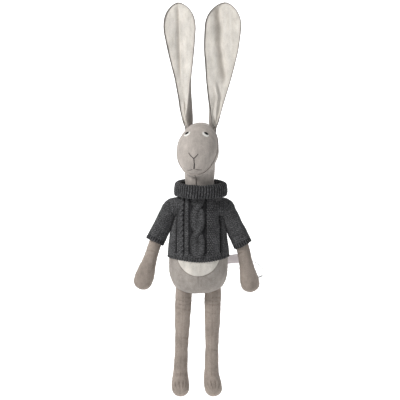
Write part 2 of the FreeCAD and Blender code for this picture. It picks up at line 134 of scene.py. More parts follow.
def add_floor():
    """A pale floor that sweeps up behind the toy into a bright backdrop, and is clear when seen from behind it."""
    low = CAD_BOX[0][2] - 0.002
    bend = [(1.3 + 0.7 * math.sin(a), low + 0.7 * (1 - math.cos(a))) for a in np.linspace(0, math.pi / 2, 12)]
    line = [(-2.0, low), (-0.1, low), (0.1, low), *bend, (2.0, 3.2)]
    verts = [(x, y, z) for y, z in line for x in (-3.0, 3.0)]
    faces = [(2 * i, 2 * i + 1, 2 * i + 3, 2 * i + 2) for i in range(len(line) - 1)]
    mesh = bpy.data.meshes.new("floor")
    mesh.from_pydata(verts, [], faces)
    mesh.polygons.foreach_set("use_smooth", [True] * len(faces))
    floor = new_object("floor", mesh)
    material, shader = new_material("floor_paper")
    nodes = Nodes(material)
    split = nodes.add("ShaderNodeSeparateXYZ")
    nodes.link(nodes.place, split.inputs["Vector"])
    glow = nodes.add("ShaderNodeMapRange", interpolation_type="SMOOTHSTEP")
    for socket, value in (("From Min", -0.12), ("From Max", 0.02), ("To Min", 0.15), ("To Max", 0.85)):
        glow.inputs[socket].default_value = value
    nodes.link(split.outputs["Y"], glow.inputs["Value"])
    nodes.link(glow.outputs["Result"], shader.inputs["Emission Strength"])
    shader.inputs["Emission Color"].default_value = (1.0, 1.0, 1.0, 1.0)
    shader.inputs["Base Color"].default_value = (0.8, 0.8, 0.8, 1.0)
    shader.inputs["Roughness"].default_value = 0.9
    side = nodes.add("ShaderNodeNewGeometry")
    clear = nodes.add("ShaderNodeBsdfTransparent")
    one_way = nodes.add("ShaderNodeMixShader")
    nodes.link(side.outputs["Backfacing"], one_way.inputs[0])
    nodes.link(shader.outputs["BSDF"], one_way.inputs[1])
    nodes.link(clear.outputs["BSDF"], one_way.inputs[2])
    nodes.link(one_way.outputs["Shader"], material.node_tree.nodes["Material Output"].inputs["Surface"])
    mesh.materials.append(material)


# ---- materials -----------------------------------------------------------------------------------------------
def new_material(name):
    material = bpy.data.materials.new(name)
    material.use_nodes = True
    return material, material.node_tree.nodes["Principled BSDF"]


SOCKETS = {"roughness": "Roughness", "specular": "Specular IOR Level", "sheen": "Sheen Weight",
           "sheen_roughness": "Sheen Roughness", "sheen_tint": "Sheen Tint", "transmission": "Transmission Weight"}


class Nodes:
    """Short ways to add shader nodes to one material."""

    def __init__(self, material):
        self.tree = material.node_tree
        self.place = self.add("ShaderNodeTexCoord").outputs["Object"]

    def finish(self, shader, tone, normal, **values):
        """Connects a colour and a normal to the shader, and sets its other sockets."""
        self.link(tone, shader.inputs["Base Color"])
        self.link(normal, shader.inputs["Normal"])
        for key, value in values.items():
            shader.inputs[SOCKETS[key]].default_value = value

    def add(self, kind, **settings):
        node = self.tree.nodes.new(kind)
        for key, value in settings.items():
            setattr(node, key, value)
        return node

    def link(self, output, socket):
        self.tree.links.new(output, socket)

    def noise(self, scale, detail=2.0, stretch=(1.0, 1.0, 1.0), roughness=0.5):
        mapping = self.add("ShaderNodeMapping")
        mapping.inputs["Scale"].default_value = stretch
        self.link(self.place, mapping.inputs["Vector"])
        node = self.add("ShaderNodeTexNoise")
        node.inputs["Scale"].default_value = scale
        node.inputs["Detail"].default_value = detail
        node.inputs["Roughness"].default_value = roughness
        self.link(mapping.outputs["Vector"], node.inputs["Vector"])
        return node.outputs["Fac"]

    def ramp(self, value, stops):
        node = self.add("ShaderNodeValToRGB")
        elements = node.color_ramp.elements
        while len(elements) < len(stops):
            elements.new(0.5)
        for element, (position, colour) in zip(elements, stops):
            element.position = position
            element.color = (*colour, 1.0)
        self.link(value, node.inputs["Fac"])
        return node.outputs["Color"]

    def mix(self, amount, a, b, blend="MIX"):
        node = self.add("ShaderNodeMix", data_type="RGBA", blend_type=blend)
        for value, socket in ((amount, node.inputs[0]), (a, node.inputs[6]), (b, node.inputs[7])):
            if isinstance(value, bpy.types.NodeSocket):
                self.link(value, socket)
            else:
                socket.default_value = value
        return node.outputs[2]

    def bump(self, height, strength, distance, below=None):
        node = self.add("ShaderNodeBump")
        node.inputs["Strength"].default_value = strength
        node.inputs["Distance"].default_value = distance
        self.link(height, node.inputs["Height"])
        if below is not None:
            self.link(below, node.inputs["Normal"])
        return node.outputs["Normal"]


def shade(colour, factor):
    return tuple(min(1.0, channel * factor) for channel in colour)


def velour(name, colour, sheen=0.35, streaks=0.35):
    """Short-pile cloth: crushed patches of nap, long brush marks, fibre grain, and painted shade in its creases and
    seams.
    """
    material, shader = new_material(name)
    nodes = Nodes(material)
    nap = nodes.noise(70.0, 4.0, (1.0, 1.0, 0.55), 0.62)
    patches = nodes.ramp(nap, [(0.28, shade(colour, 0.80)), (0.50, colour), (0.72, shade(colour, 1.22))])
    brushed = nodes.ramp(nodes.noise(240.0, 3.0, (1.0, 1.0, 0.16)), [(0.32, (0.42,) * 3), (0.68, (0.58,) * 3)])
    tone = nodes.mix(streaks, patches, brushed, "OVERLAY")
    fibre = nodes.noise(1700.0, 2.0, (1.0, 1.0, 0.55))
    grain_tone = nodes.ramp(fibre, [(0.30, (0.36,) * 3), (0.70, (0.64,) * 3)])
    tone = nodes.mix(0.6, tone, grain_tone, "OVERLAY")
    # painted shade: the hollow attribute darkens creases and seams, where shade would fall
    depth = nodes.add("ShaderNodeAttribute", attribute_name="hollow")
    crease = nodes.ramp(depth.outputs["Fac"], [(0.0, (1.0, 1.0, 1.0)), (1.0, (0.50, 0.47, 0.45))])
    nodes.finish(shader, nodes.mix(1.0, tone, crease, "MULTIPLY"),
                 nodes.bump(fibre, 0.5, 0.0004, nodes.bump(nap, 0.3, 0.0012)), roughness=0.92, specular=0.15,
                 sheen=sheen, sheen_roughness=0.35, sheen_tint=(1.0, 0.97, 0.94, 1.0))
    return material


def yarn(name, colour):
    """Melange wool: light and dark fibres twisted together, with painted shade down between the stitches and a painted
    highlight on their ridges, and a fuzzy face.
    """
    material, shader = new_material(name)
    nodes = Nodes(material)
    fleck = nodes.noise(620.0, 4.0, (1.0, 1.0, 1.0), 0.75)
    tone = nodes.ramp(fleck, [(0.34, shade(colour, 0.36)), (0.50, colour), (0.66, shade(colour, 2.9))])
    drift = nodes.ramp(nodes.noise(60.0, 3.0), [(0.3, (0.38,) * 3), (0.7, (0.60,) * 3)])
    tone = nodes.mix(0.8, tone, drift, "OVERLAY")
    # painted shade in the hollows between stitches and a painted highlight on their ridges, both from the depth
    # attribute
    depth = nodes.add("ShaderNodeAttribute", attribute_name="depth")
    hollow = nodes.ramp(depth.outputs["Fac"], [(0.05, (0.16, 0.16, 0.17)), (0.55, (0.80,) * 3), (1.0, (1.4,) * 3)])
    fuzz = nodes.noise(2300.0, 3.0)
    nodes.finish(shader, nodes.mix(1.0, tone, hollow, "MULTIPLY"), nodes.bump(fuzz, 0.6, 0.0005), roughness=0.95,
                 specular=0.12, sheen=0.12, sheen_roughness=0.5)
    return material


def thread(name, colour, gloss=0.35):
    """Embroidery thread: fine twisted filaments with a silky light."""
    material, shader = new_material(name)
    nodes = Nodes(material)
    filament = nodes.noise(2200.0, 2.0, (1.0, 1.0, 0.25))
    tone = nodes.ramp(filament, [(0.3, shade(colour, 0.75)), (0.7, shade(colour, 1.15))])
    nodes.finish(shader, tone, nodes.bump(filament, 0.5, 0.0003), roughness=1.0 - gloss, specular=0.4)
    return material


def filling(name, colour):
    """Loose fibrefill: tangled curly strands."""
    material, shader = new_material(name)
    nodes = Nodes(material)
    curls = nodes.noise(420.0, 5.0, (1.0, 1.0, 1.0), 0.65)
    tone = nodes.ramp(curls, [(0.3, shade(colour, 0.8)), (0.7, colour)])
    nodes.finish(shader, tone, nodes.bump(curls, 0.8, 0.0015), roughness=0.95, sheen=0.2)
    return material


def ribbon(name, colour):
    """Woven satin label ribbon, with no print."""
    material, shader = new_material(name)
    nodes = Nodes(material)
    wave = nodes.add("ShaderNodeTexWave", wave_type="BANDS", bands_direction="Z")
    wave.inputs["Scale"].default_value = 520.0
    wave.inputs["Distortion"].default_value = 0.6
    nodes.link(nodes.place, wave.inputs["Vector"])
    tone = nodes.ramp(wave.outputs["Fac"], [(0.2, shade(colour, 0.9)), (0.8, shade(colour, 1.04))])
    nodes.finish(shader, tone, nodes.bump(wave.outputs["Fac"], 0.4, 0.0002), roughness=0.45, sheen=0.15)
    return material


def string_plastic(name, colour):
    """Thin translucent string, a little cloudy."""
    material, shader = new_material(name)
    nodes = Nodes(material)
    cloud = nodes.noise(700.0, 2.0)
    tone = nodes.ramp(cloud, [(0.3, shade(colour, 0.85)), (0.7, colour)])
    nodes.finish(shader, tone, nodes.bump(cloud, 0.2, 0.0002), roughness=0.35, transmission=0.25)
    return material


TAUPE = (0.336, 0.306, 0.280)
CREAM = (0.640, 0.606, 0.555)
MATERIAL = {
    "taupe_velour": velour("taupe_velour", TAUPE),
    "taupe_velour_back": velour("taupe_velour_back", shade(TAUPE, 0.94)),
    "head_velour": velour("head_velour", (0.420, 0.380, 0.348), 0.40),
    "limb_velour": velour("limb_velour", (0.312, 0.266, 0.232)),
    # a darker copy of the taupe velour for the ear backs, as painted shade on their turned-in edges
    "ear_back_shaded_velour": velour("ear_back_shaded_velour", shade(TAUPE, 0.88)),
    "cream_velour": velour("cream_velour", CREAM, 0.2),
    "grey_knit": yarn("grey_knit", (0.064, 0.064, 0.066)),
    "grey_rib": yarn("grey_rib", (0.056, 0.056, 0.058)),
    "white_thread": thread("white_thread", (0.86, 0.85, 0.81)),
    "black_thread": thread("black_thread", (0.012, 0.011, 0.012), 0.25),
    "fibrefill": filling("fibrefill", (0.86, 0.86, 0.84)),
    "ear_interlining": filling("ear_interlining", (0.80, 0.78, 0.74)),
    "gathered_knot": velour("gathered_knot", shade(TAUPE, 0.8)),
    "label_ribbon": ribbon("label_ribbon", (0.93, 0.86, 0.88)),
    "loop_string": string_plastic("loop_string", (0.80, 0.80, 0.80)),
}


# ---- meshes --------------------------------------------------------------------------------------------------
def add_object(name, verts, faces, slot, depth=None, material=None, hollow=None, crisp=False):
    """A smooth-shaded mesh object from points in millimetres.

    depth is 0 in the hollows of knitting and 1 on its ridges, and the yarn turns it into painted shade in the hollows
    and a painted highlight on the ridges. hollow is 1 down in a crease or seam of plain cloth, where the velour paints
    shade.
    """
    mesh = bpy.data.meshes.new(name)
    mesh.from_pydata((np.asarray(verts) * MM).tolist(), [], faces)
    for label, values in (("depth", depth), ("hollow", hollow)):
        if values is not None:
            layer = mesh.attributes.new(label, "FLOAT", "POINT")
            layer.data.foreach_set("value", np.asarray(values, dtype=np.float32).ravel())
    mesh.polygons.foreach_set("use_smooth", [True] * len(mesh.polygons))
    mesh.materials.append(MATERIAL[material or slot])
    obj = new_object(name, mesh)
    tidy = bmesh.new()
    tidy.from_mesh(mesh)
    bmesh.ops.remove_doubles(tidy, verts=tidy.verts, dist=1e-6)
    bmesh.ops.dissolve_degenerate(tidy, edges=tidy.edges, dist=1e-6)
    if crisp:
        for edge in tidy.edges:
            edge.smooth = not edge.is_manifold or edge.calc_face_angle() < math.radians(50.0)
    tidy.to_mesh(mesh)
    tidy.free()
    return obj


def grid_faces(rows, cols, closed=False, start=0):
    """Quads over a grid of rows by cols points, closed round the columns or not."""
    faces = []
    for row in range(rows - 1):
        for col in range(cols if closed else cols - 1):
            after = (col + 1) % cols
            a, b = start + row * cols, start + (row + 1) * cols
            faces.append((a + col, a + after, b + after, b + col))
    return faces


def normals_of(grid, closed=True):
    """Outward unit normals at each point of a grid whose columns run round it."""
    if closed:
        across = np.roll(grid, -1, axis=1) - np.roll(grid, 1, axis=1)
    else:
        across = np.gradient(grid, axis=1)
    along = np.gradient(grid, axis=0)
    normal = np.cross(across, along)
    normal /= np.linalg.norm(normal, axis=2, keepdims=True) + 1e-9
    return normal


def outward(grid, normal):
    """Normals turned away from the middle of each row."""
    middle = grid.mean(axis=1, keepdims=True)
    return normal * np.sign(np.sum(normal * (grid - middle), axis=2).mean())


def grain(points, size, seed=0.0):
    """Smooth noise from -1 to 1 at each point, with features about size millimetres wide."""
    flat = points.reshape(-1, 3) / size + seed
    values = [noise.noise(Vector(p)) for p in flat.tolist()]
    return np.array(values).reshape(points.shape[:-1])


def smooth_curve(keys, at):
    """Values of a smooth curve through keys, whose first column is the parameter."""
    keys = np.array(keys, float)
    knots, values = keys[:, 0], keys[:, 1:]
    slopes = np.gradient(values, knots, axis=0)
    at = np.clip(at, knots[0], knots[-1])
    index = np.clip(np.searchsorted(knots, at, side="right") - 1, 0, len(knots) - 2)
    span = (knots[index + 1] - knots[index])[:, None]
    t = ((at - knots[index]) / span[:, 0])[:, None]
    return ((2 * t**3 - 3 * t**2 + 1) * values[index] + (t**3 - 2 * t**2 + t) * span * slopes[index]
            + (3 * t**2 - 2 * t**3) * values[index + 1] + (t**3 - t**2) * span * slopes[index + 1])


def loft(stations, rows, cols, reference, round_end=True):
    """A tube through stations (parameter, x, y, z, radius, radius), with a rounded closed end.

    Column 0 lies towards the reference direction. The radii run along it and across it.
    """
    at = np.linspace(stations[0][0], stations[-1][0], rows)
    path = smooth_curve(stations, at)
    centre, radii = path[:, :3], path[:, 3:5]
    tangent = np.gradient(centre, axis=0)
    tangent /= np.linalg.norm(tangent, axis=1, keepdims=True)
    if round_end:
        angles = np.linspace(0, math.pi / 2, 10)[1:]
        reach = np.minimum(radii[-1, 0], radii[-1, 1])
        centre = np.vstack([centre, centre[-1] + tangent[-1] * reach * np.sin(angles)[:, None]])
        radii = np.vstack([radii, radii[-1] * np.cos(angles)[:, None]])
        tangent = np.vstack([tangent, np.repeat(tangent[-1:], len(angles), axis=0)])
    first = np.array(reference, float) - tangent * (tangent @ np.array(reference, float))[:, None]
    first /= np.linalg.norm(first, axis=1, keepdims=True)
    second = np.cross(tangent, first)
    turn = np.linspace(0, 2 * math.pi, cols, endpoint=False)
    grid = (centre[:, None, :] + first[:, None, :] * (radii[:, :1] * np.cos(turn))[:, :, None]
            + second[:, None, :] * (radii[:, 1:2] * np.sin(turn))[:, :, None])
    return grid, turn


def swell(grid, normal, amount):
    return grid + normal * amount[..., None]


def unit(values):
    return np.clip(values, 0, 1)


def hill(away, wide):
    """A smooth bump of height 1 at 0, that falls away over the width."""
    return np.exp(-((away / wide) ** 2))


def run_length(points):
    """Distance run along a line of points, from 0 at the first."""
    return np.concatenate([[0.0], np.cumsum(np.linalg.norm(np.diff(points, axis=0), axis=1))])


def ribs_round(ring, wished):
    """Distance run round a closed ring of points, and the rib pitch nearest the wished one that closes on it."""
    around = np.linalg.norm(ring - np.roll(ring, 1, axis=0), axis=1).cumsum()[None, :]
    return around, around[0, -1] / round(around[0, -1] / wished)


def seam_relief(distance, along, depth=0.5, width=0.9, pucker=0.16, pitch=6.5):
    """A sewn seam: a narrow groove, with small puckers on both sides of it."""
    groove = -depth * hill(distance, width)
    ripple = np.sin(2 * math.pi * along / pitch + 1.7 * np.sin(along / 11.0))
    return groove + pucker * ripple * hill(distance, 4.5) * (1 - hill(distance, 1.4))


def panel(name, grid, slot, relief, material=None):
    """One sewn panel from part of a grid, with its two side edges turned in along the seams."""
    normal = outward(grid, normals_of(grid, closed=False))
    edge_a, edge_b = grid[:, :1] - normal[:, :1] * TUCK, grid[:, -1:] - normal[:, -1:] * TUCK
    full = np.concatenate([edge_a, grid, edge_b], axis=1)
    # painted shade in the seams and creases: the deeper a point lies below its surroundings, the darker it is painted
    hollow = hollows(np.concatenate([relief[:, :1], relief, relief[:, -1:]], axis=1))
    return add_object(name, full.reshape(-1, 3), grid_faces(*full.shape[:2]), slot, hollow=hollow, material=material,
                      crisp=True)


def settle(grid, normal, pinned):
    """Blows a cover up as a bag of cloth held along its pinned points, and returns how each point of the grid moved.

    The bag is a coarser copy of the grid cut a little too large, so it buckles between the seams as stuffed cloth
    does. What it gains in size on average is taken off again.
    """
    move = np.zeros_like(grid)
    first = int(np.argmax(np.ptp(grid[:, :, 0], axis=1) > 4.0))
    rows = np.unique(np.append(np.arange(first, len(grid) - 4, BAG_ROWS), len(grid) - 2))
    cols = np.arange(0, grid.shape[1], BAG_COLS)
    bag = (grid - normal * BAG_INSET)[np.ix_(rows, cols)]
    held = pinned[np.ix_(rows, cols)].copy()
    held[[0, -1]] = True
    count = len(rows) * len(cols)
    ends = [bag[0].mean(axis=0), bag[-1].mean(axis=0)]
    faces = grid_faces(len(rows), len(cols), closed=True)
    last = count - len(cols)
    for col in range(len(cols)):
        after = (col + 1) % len(cols)
        faces += [(count, after, col), (count + 1, last + col, last + after)]
    mesh = bpy.data.meshes.new("bag")
    mesh.from_pydata((np.vstack([bag.reshape(-1, 3), ends]) * MM).tolist(), [], faces)
    obj = new_object("bag", mesh)
    obj.vertex_groups.new(name="seams").add([int(i) for i in np.flatnonzero(held)] + [count], 1.0, "REPLACE")
    cloth = obj.modifiers.new("cloth", "CLOTH").settings
    cloth.effector_weights.gravity = 0.0
    cloth.use_pressure = True
    cloth.uniform_pressure_force = 4.0
    cloth.vertex_group_mass = "seams"
    cloth.shrink_min = BAG_SLACK
    cloth.mass = 0.05
    cloth.quality = 4
    cloth.tension_stiffness = cloth.compression_stiffness = 12.0
    cloth.bending_stiffness = 0.15
    for frame_number in range(1, BAG_FRAMES + 1):
        bpy.context.scene.frame_set(frame_number)
    settled = obj.evaluated_get(bpy.context.evaluated_depsgraph_get()).data
    points = np.array([vert.co for vert in settled.vertices[:count]]).reshape(bag.shape) / MM
    bpy.data.objects.remove(obj)
    bpy.context.scene.frame_set(1)
    moved = points - bag
    for axis in range(3):
        tall = np.array([np.interp(np.arange(len(grid)), rows, column) for column in moved[..., axis].T]).T
        wide = np.concatenate([tall, tall[:, :1]], axis=1)
        at = np.append(cols, grid.shape[1])
        move[..., axis] = [np.interp(np.arange(grid.shape[1]), at, row) for row in wide]
    for _ in range(6):
        padded = np.pad(move, ((1, 1), (0, 0), (0, 0)), mode="edge")
        move = (padded[2:] + padded[:-2] + 2 * move + np.roll(move, 1, axis=1) + np.roll(move, -1, axis=1)) / 6
    out = np.sum(move * normal, axis=2)
    out = BAG_CAP * np.tanh((out - np.median(out)) * 0.45 / BAG_CAP)
    return normal * out[..., None]


def hollows(relief):
    """How far each point lies below its surroundings, from 0 to 1, which sets the painted shade there. The grid is
    taken to wrap round at its edges.
    """
    around = relief.copy()
    for _ in range(6):
        around = (np.roll(around, 1, 0) + np.roll(around, -1, 0) + np.roll(around, 1, 1) + np.roll(around, -1, 1)) / 4
    return unit((around - relief) * 2.4)


def closed_object(name, grid, slot, close_start=True):
    """A closed tube of a grid whose columns run round it, with its start filled in."""
    rows, cols = grid.shape[:2]
    verts = grid.reshape(-1, 3)
    faces = grid_faces(rows, cols, closed=True)
    if close_start:
        verts = np.vstack([verts, grid[0].mean(axis=0)])
        faces += [(rows * cols, (col + 1) % cols, col) for col in range(cols)]
    return add_object(name, verts, faces, slot)


def ring_object(name, grid, slot, depth):
    """A knitted tube or ring of a grid whose columns run round it, open at both ends."""
    return add_object(name, grid.reshape(-1, 3), grid_faces(*grid.shape[:2], closed=True), slot, depth)


def stand_for(obj, body, nodes):
    if body is not None:
        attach(obj, body)
    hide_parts(*nodes)
    return obj


# ---- limbs ---------------------------------------------------------------------------------------------------
def limb_relief(grid, turn, creases=(), seed=0.0):
    """Relief of a stuffed limb: two seams, soft lumps of stuffing, and a few cross creases."""
    centre = grid.mean(axis=1)
    along = run_length(centre)[:, None] + 0 * turn[None, :]
    radius = np.linalg.norm(grid - centre[:, None, :], axis=2)
    to_seam = np.abs((turn[None, :] / math.pi) % 1.0 - 0.5) * math.pi * radius
    relief = (seam_relief(to_seam, along, 0.3, 0.8, 0.12) + 0.5 * grain(grid, 16.0, seed)
              + 0.2 * grain(grid, 6.0, seed + 3))
    for place, depth, angle in creases:
        facing = unit(np.cos(turn - angle))[None, :] ** 0.7
        wavy = along - place - 1.2 * np.sin(turn * 2 + place)[None, :]
        relief = relief - depth * facing * hill(wavy, 1.5) + depth * 0.5 * facing * hill(wavy - 3.2, 2.2)
    return relief


def halves(grid):
    """The two panels of a limb: columns on the near side of both seams, and on the far side."""
    cols = grid.shape[1]
    near = np.concatenate([grid[:, 3 * cols // 4:], grid[:, :cols // 4 + 1]], axis=1)
    far = grid[:, cols // 4:3 * cols // 4 + 1]
    return near, far


UPPER = {"left": (58.5, 25.5), "right": (51.0, 26.5)}
FORE = {"left": (63.8, 11.5), "right": (69.0, 17.5)}


def leaning(side, degrees):
    angle = math.radians(degrees)
    return np.array([side * math.sin(angle), 0.0, -math.cos(angle)])


def arm_stations(name, side, inset=0.0):
    shoulder = JOINT[f"shoulder_swing_{name}"]
    (upper, lean), (fore, hang) = UPPER[name], FORE[name]
    elbow = shoulder + leaning(side, lean) * upper
    stations = []
    for share, radius in ((0.0, 9.6), (0.35, 10.2), (0.75, 10.1)):
        stations.append((share * upper, *(shoulder + (elbow - shoulder) * share), radius, radius))
    down = leaning(side, hang)
    for reach, wide, deep in ((14, 10.0, 9.9), (30, 10.4, 10.1), (42, 11.6, 10.8), (54, 13.6, 12.0),
                              (fore - 2, 14.7, 12.8), (fore + 2.6, 14.5, 12.8)):
        stations.append((upper + reach, *(elbow + down * reach), deep, wide))
    return [(s, x, y, z, a - inset, b - inset) for s, x, y, z, a, b in stations]


def seam_points(grid):
    """True along the two side seams of a grid whose columns run once round it."""
    held = np.zeros(grid.shape[:2], bool)
    held[:, [grid.shape[1] // 4, 3 * grid.shape[1] // 4]] = True
    return held


def make_arm(name, side):
    grid, turn = loft(arm_stations(name, side), 92, 64, (0, 1, 0))
    normal = outward(grid, normals_of(grid))
    relief = limb_relief(grid, turn, [(74, 0.4, 4.2), (96, 0.3, 5.4)], seed=side)
    move = settle(grid, normal, seam_points(grid))
    cover = swell(grid, normal, relief) + move
    for (label, part), hollow in zip((("back", 0), ("front", 1)), halves(relief)):
        cloth = panel(f"arm_{name}_{label}_panel", halves(cover)[part], "taupe_velour", hollow, "limb_velour")
        stand_for(cloth, f"arm_{name}", [f"arm_{label}_{name}"])
    filled = (swell(grid, normal, relief * 0.6 - FILL_INSET) + move)[::2, ::2]
    stand_for(closed_object(f"arm_{name}_filling", filled, "fibrefill"), f"arm_{name}", [f"arm_stuffing_{name}"])


LEG_LEAN = {"left": -0.9, "right": 2.2}
LEG_SHIFT = {"left": -1.6, "right": 0.0}
FOOT_TURN = {"left": 10.0, "right": -3.0}


def leg_stations(name, side):
    """Down the leg from inside the torso, round the heel, and out along the foot, under a hip at the origin."""
    hip_up = JOINT[f"hip_swing_{name}"][2] + WAIST_UP
    turn = math.radians(side * FOOT_TURN[name])
    ahead = np.array([math.sin(turn), -math.cos(turn), 0.0])
    rows = [(0.0, 172, 12.4, 12.4), (0.0, 158, 12.5, 12.5), (0.0, 146, 12.5, 12.5), (0.0, 132, 12.4, 12.4),
            (0.0, 116, 11.8, 11.8), (0.0, 96, 10.8, 10.8), (0.0, 76, 10.4, 10.2), (0.0, 58, 10.5, 10.2),
            (0.0, 46, 10.8, 10.6), (0.5, 37, 11.3, 11.3), (2.6, 29.0, 12.3, 12.2), (6.6, 22.4, 13.2, 12.9),
            (12.2, 17.2, 13.6, 13.0), (18.6, 13.4, 13.2, 12.4)]
    points = np.array([ahead * reach + [0.0, 0.0, up - hip_up] for reach, up, wide, deep in rows])
    along = run_length(points)
    return [(s, *point, wide, deep) for s, point, (_, _, wide, deep) in zip(along, points, rows)]


def toe_gathers(grid, turn, side):
    """Small folds where the cloth of the foot is drawn together over the toes, under a shallow dip at the instep."""
    to_go = (len(grid) - 1 - np.arange(len(grid)))[:, None]
    upper = unit(np.sin(turn))[None, :]
    fold = -unit(np.cos(turn * 14 + 1.3 * np.sin(turn * 2 + side)))[None, :] ** 3
    folds = 0.9 * fold * upper ** 0.6 * hill(to_go - 8.5, 4.0)
    instep = 0.7 * upper * hill(to_go - 17, 4.5)
    dip = -0.5 * upper * hill(to_go - 28 + 3 * np.cos(turn)[None, :] * side, 4.0)
    return folds + instep + dip


def make_leg(name, side):
    hip = JOINT[f"hip_swing_{name}"]
    place = hip + [LEG_SHIFT[name], 0.0, 0.0]
    grid, turn = loft(leg_stations(name, side), 130, 64, (1, 0, 0))
    normal = outward(grid, normals_of(grid))
    top = [(21, 0.35, 1.0), (25.5, 0.3, 2.0), (30, 0.3, 1.2)]
    creases = [(38, 0.2, 1.2), (84, 0.3, 0.6), (97, 0.22, 1.9), (60, 0.3, 4.0)] if side < 0 else \
        [(44, 0.2, 1.6), (78, 0.2, 2.4), (101, 0.3, 0.5), (64, 0.3, 4.4)]
    relief = limb_relief(grid, turn, top + creases, seed=7 + side) + toe_gathers(grid, turn, side)
    move = settle(grid, normal, seam_points(grid))
    lean = np.array(Matrix.Rotation(math.radians(-side * LEG_LEAN[name]), 3, "Y"))
    cover = (swell(grid, normal, relief) + move) @ lean.T + place
    filled = ((swell(grid, normal, relief * 0.6 - FILL_INSET) + move) @ lean.T + place)[::2, ::2]
    meet_torso(cover)
    meet_torso(filled, 1.0)
    (near, far), (near_relief, far_relief) = halves(cover), halves(relief)
    near_label, far_label = ("outer", "inner") if side > 0 else ("inner", "outer")
    pieces = []
    for label, part, hollow in ((near_label, near, near_relief), (far_label, far, far_relief)):
        cloth = panel(f"leg_{name}_{label}_panel", part, "taupe_velour", hollow, "limb_velour")
        pieces.append((cloth, f"leg_{label}_{name}"))
    pieces.append((closed_object(f"leg_{name}_filling", filled, "fibrefill"), f"leg_stuffing_{name}"))
    for obj, node in pieces:
        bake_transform(obj)
        stand_for(obj, None, [node])


# ---- torso ---------------------------------------------------------------------------------------------------
TORSO_DEPTH = 0.80
TORSO_PROFILE = [(0.0, 158.0), (24.0, 160.6), (36.0, 168.0), (42.5, 182.0), (45.0, 206.0), (41.2, 236.0), (35.6, 255.0),
                 (29.2, 271.0), (24.8, 287.0), (20.5, 298.0), (12.6, 302.0)]


def torso_radius(up):
    """Half width of the torso at a height above the toes."""
    radii, heights = np.array(TORSO_PROFILE).T
    return np.interp(up, heights, radii)


def torso_rows():
    radii, heights = np.array(TORSO_PROFILE).T
    length = np.concatenate([[0.0], np.cumsum(np.hypot(np.diff(radii), np.diff(heights)))])
    keys = np.column_stack([length, radii, heights])
    keys = np.vstack([[-6.0, -6.0, 158.0], keys])
    fine = smooth_curve(keys, np.linspace(0.0, length[-1], 120))
    return np.clip(fine[:, 0], 0.0, None), fine[:, 1]


def meet_torso(grid, below=0.0):
    """Pulls the top of a leg down to just inside the underside of the torso."""
    radius = np.hypot(grid[..., 0], grid[..., 1] / TORSO_DEPTH)
    under = np.interp(radius, [r for r, up in TORSO_PROFILE[:5]], [up for r, up in TORSO_PROFILE[:5]]) - WAIST_UP
    grid[..., 2] = np.minimum(grid[..., 2], under + 3.0 - below)


def torso_grid():
    """The torso's outside, as rows up it and columns round it from the toy's left, and the angle of each column."""
    radii, heights = torso_rows()
    turn = np.linspace(0, 2 * math.pi, 128, endpoint=False)
    x = radii[:, None] * np.cos(turn)
    y = -TORSO_DEPTH * radii[:, None] * np.sin(turn)
    z = np.repeat((heights - WAIST_UP)[:, None], len(turn), axis=1)
    return np.stack([x, y, z], axis=2), turn


BELLY_UP, BELLY_HALF_WIDE, BELLY_HALF_TALL = 221.5, 32.4, 33.4


def belly_distance(grid):
    """Rough distance in millimetres outside the belly patch's edge, on the front."""
    share = np.hypot(grid[..., 0] / BELLY_HALF_WIDE, (grid[..., 2] + WAIST_UP - BELLY_UP) / BELLY_HALF_TALL)
    return (share - 1.0) * 34.0


def make_torso():
    grid, turn = torso_grid()
    normal = outward(grid, normals_of(grid))
    normal[0] = (0, 0, -1)
    front = (np.sin(turn) > 0.02)[None, :]
    up = grid[..., 2] + WAIST_UP
    centre_seam = np.where(front, np.abs(grid[..., 0]), 99.0)
    side_seam = np.abs(grid[..., 1]) + np.where(np.abs(grid[..., 0]) > 8.0, 0.0, 99.0)
    relief = 0.8 * grain(grid, 24.0, 1.0) + 0.3 * grain(grid, 8.0, 5.0)
    relief += seam_relief(centre_seam, up, 0.45, 0.9, 0.15) + seam_relief(side_seam, up, 0.6, 1.0, 0.2)
    relief -= np.where(front, 0.22 * hill(np.abs(grid[..., 0] - 0.4) - 3.4, 0.7), 0.0)
    relief += np.where(front, seam_relief(np.abs(belly_distance(grid)), grid[..., 0], 0.45, 1.3, 0.0), 0.0)
    held = seam_points(grid)
    held[:, [0, len(turn) // 2]] = True
    held |= up > 262.0
    clear = unit((np.where(front, belly_distance(grid), 99.0) - 1.0) / 8.0)
    cover = swell(grid, normal, relief) + settle(grid, normal, held) * clear[..., None]
    cols = len(turn)
    quarter = cols // 4
    for label, start, count, node, slot in (("front_left", 0, quarter, "torso_front_left", "taupe_velour"),
                                            ("front_right", quarter, quarter, "torso_front_right", "taupe_velour"),
                                            ("back", 2 * quarter, 2 * quarter, "torso_back", "taupe_velour_back")):
        pick = np.arange(start, start + count + 1) % cols
        stand_for(panel(f"torso_{label}_panel", cover[:, pick], slot, relief[:, pick]), "torso", [node])
    filled = swell(grid, normal, relief * 0.5 - FILL_INSET - 0.4)[::2, ::2]
    stand_for(closed_object("torso_filling", filled, "fibrefill", close_start=False), "torso", ["torso_stuffing"])
    make_belly_patch()


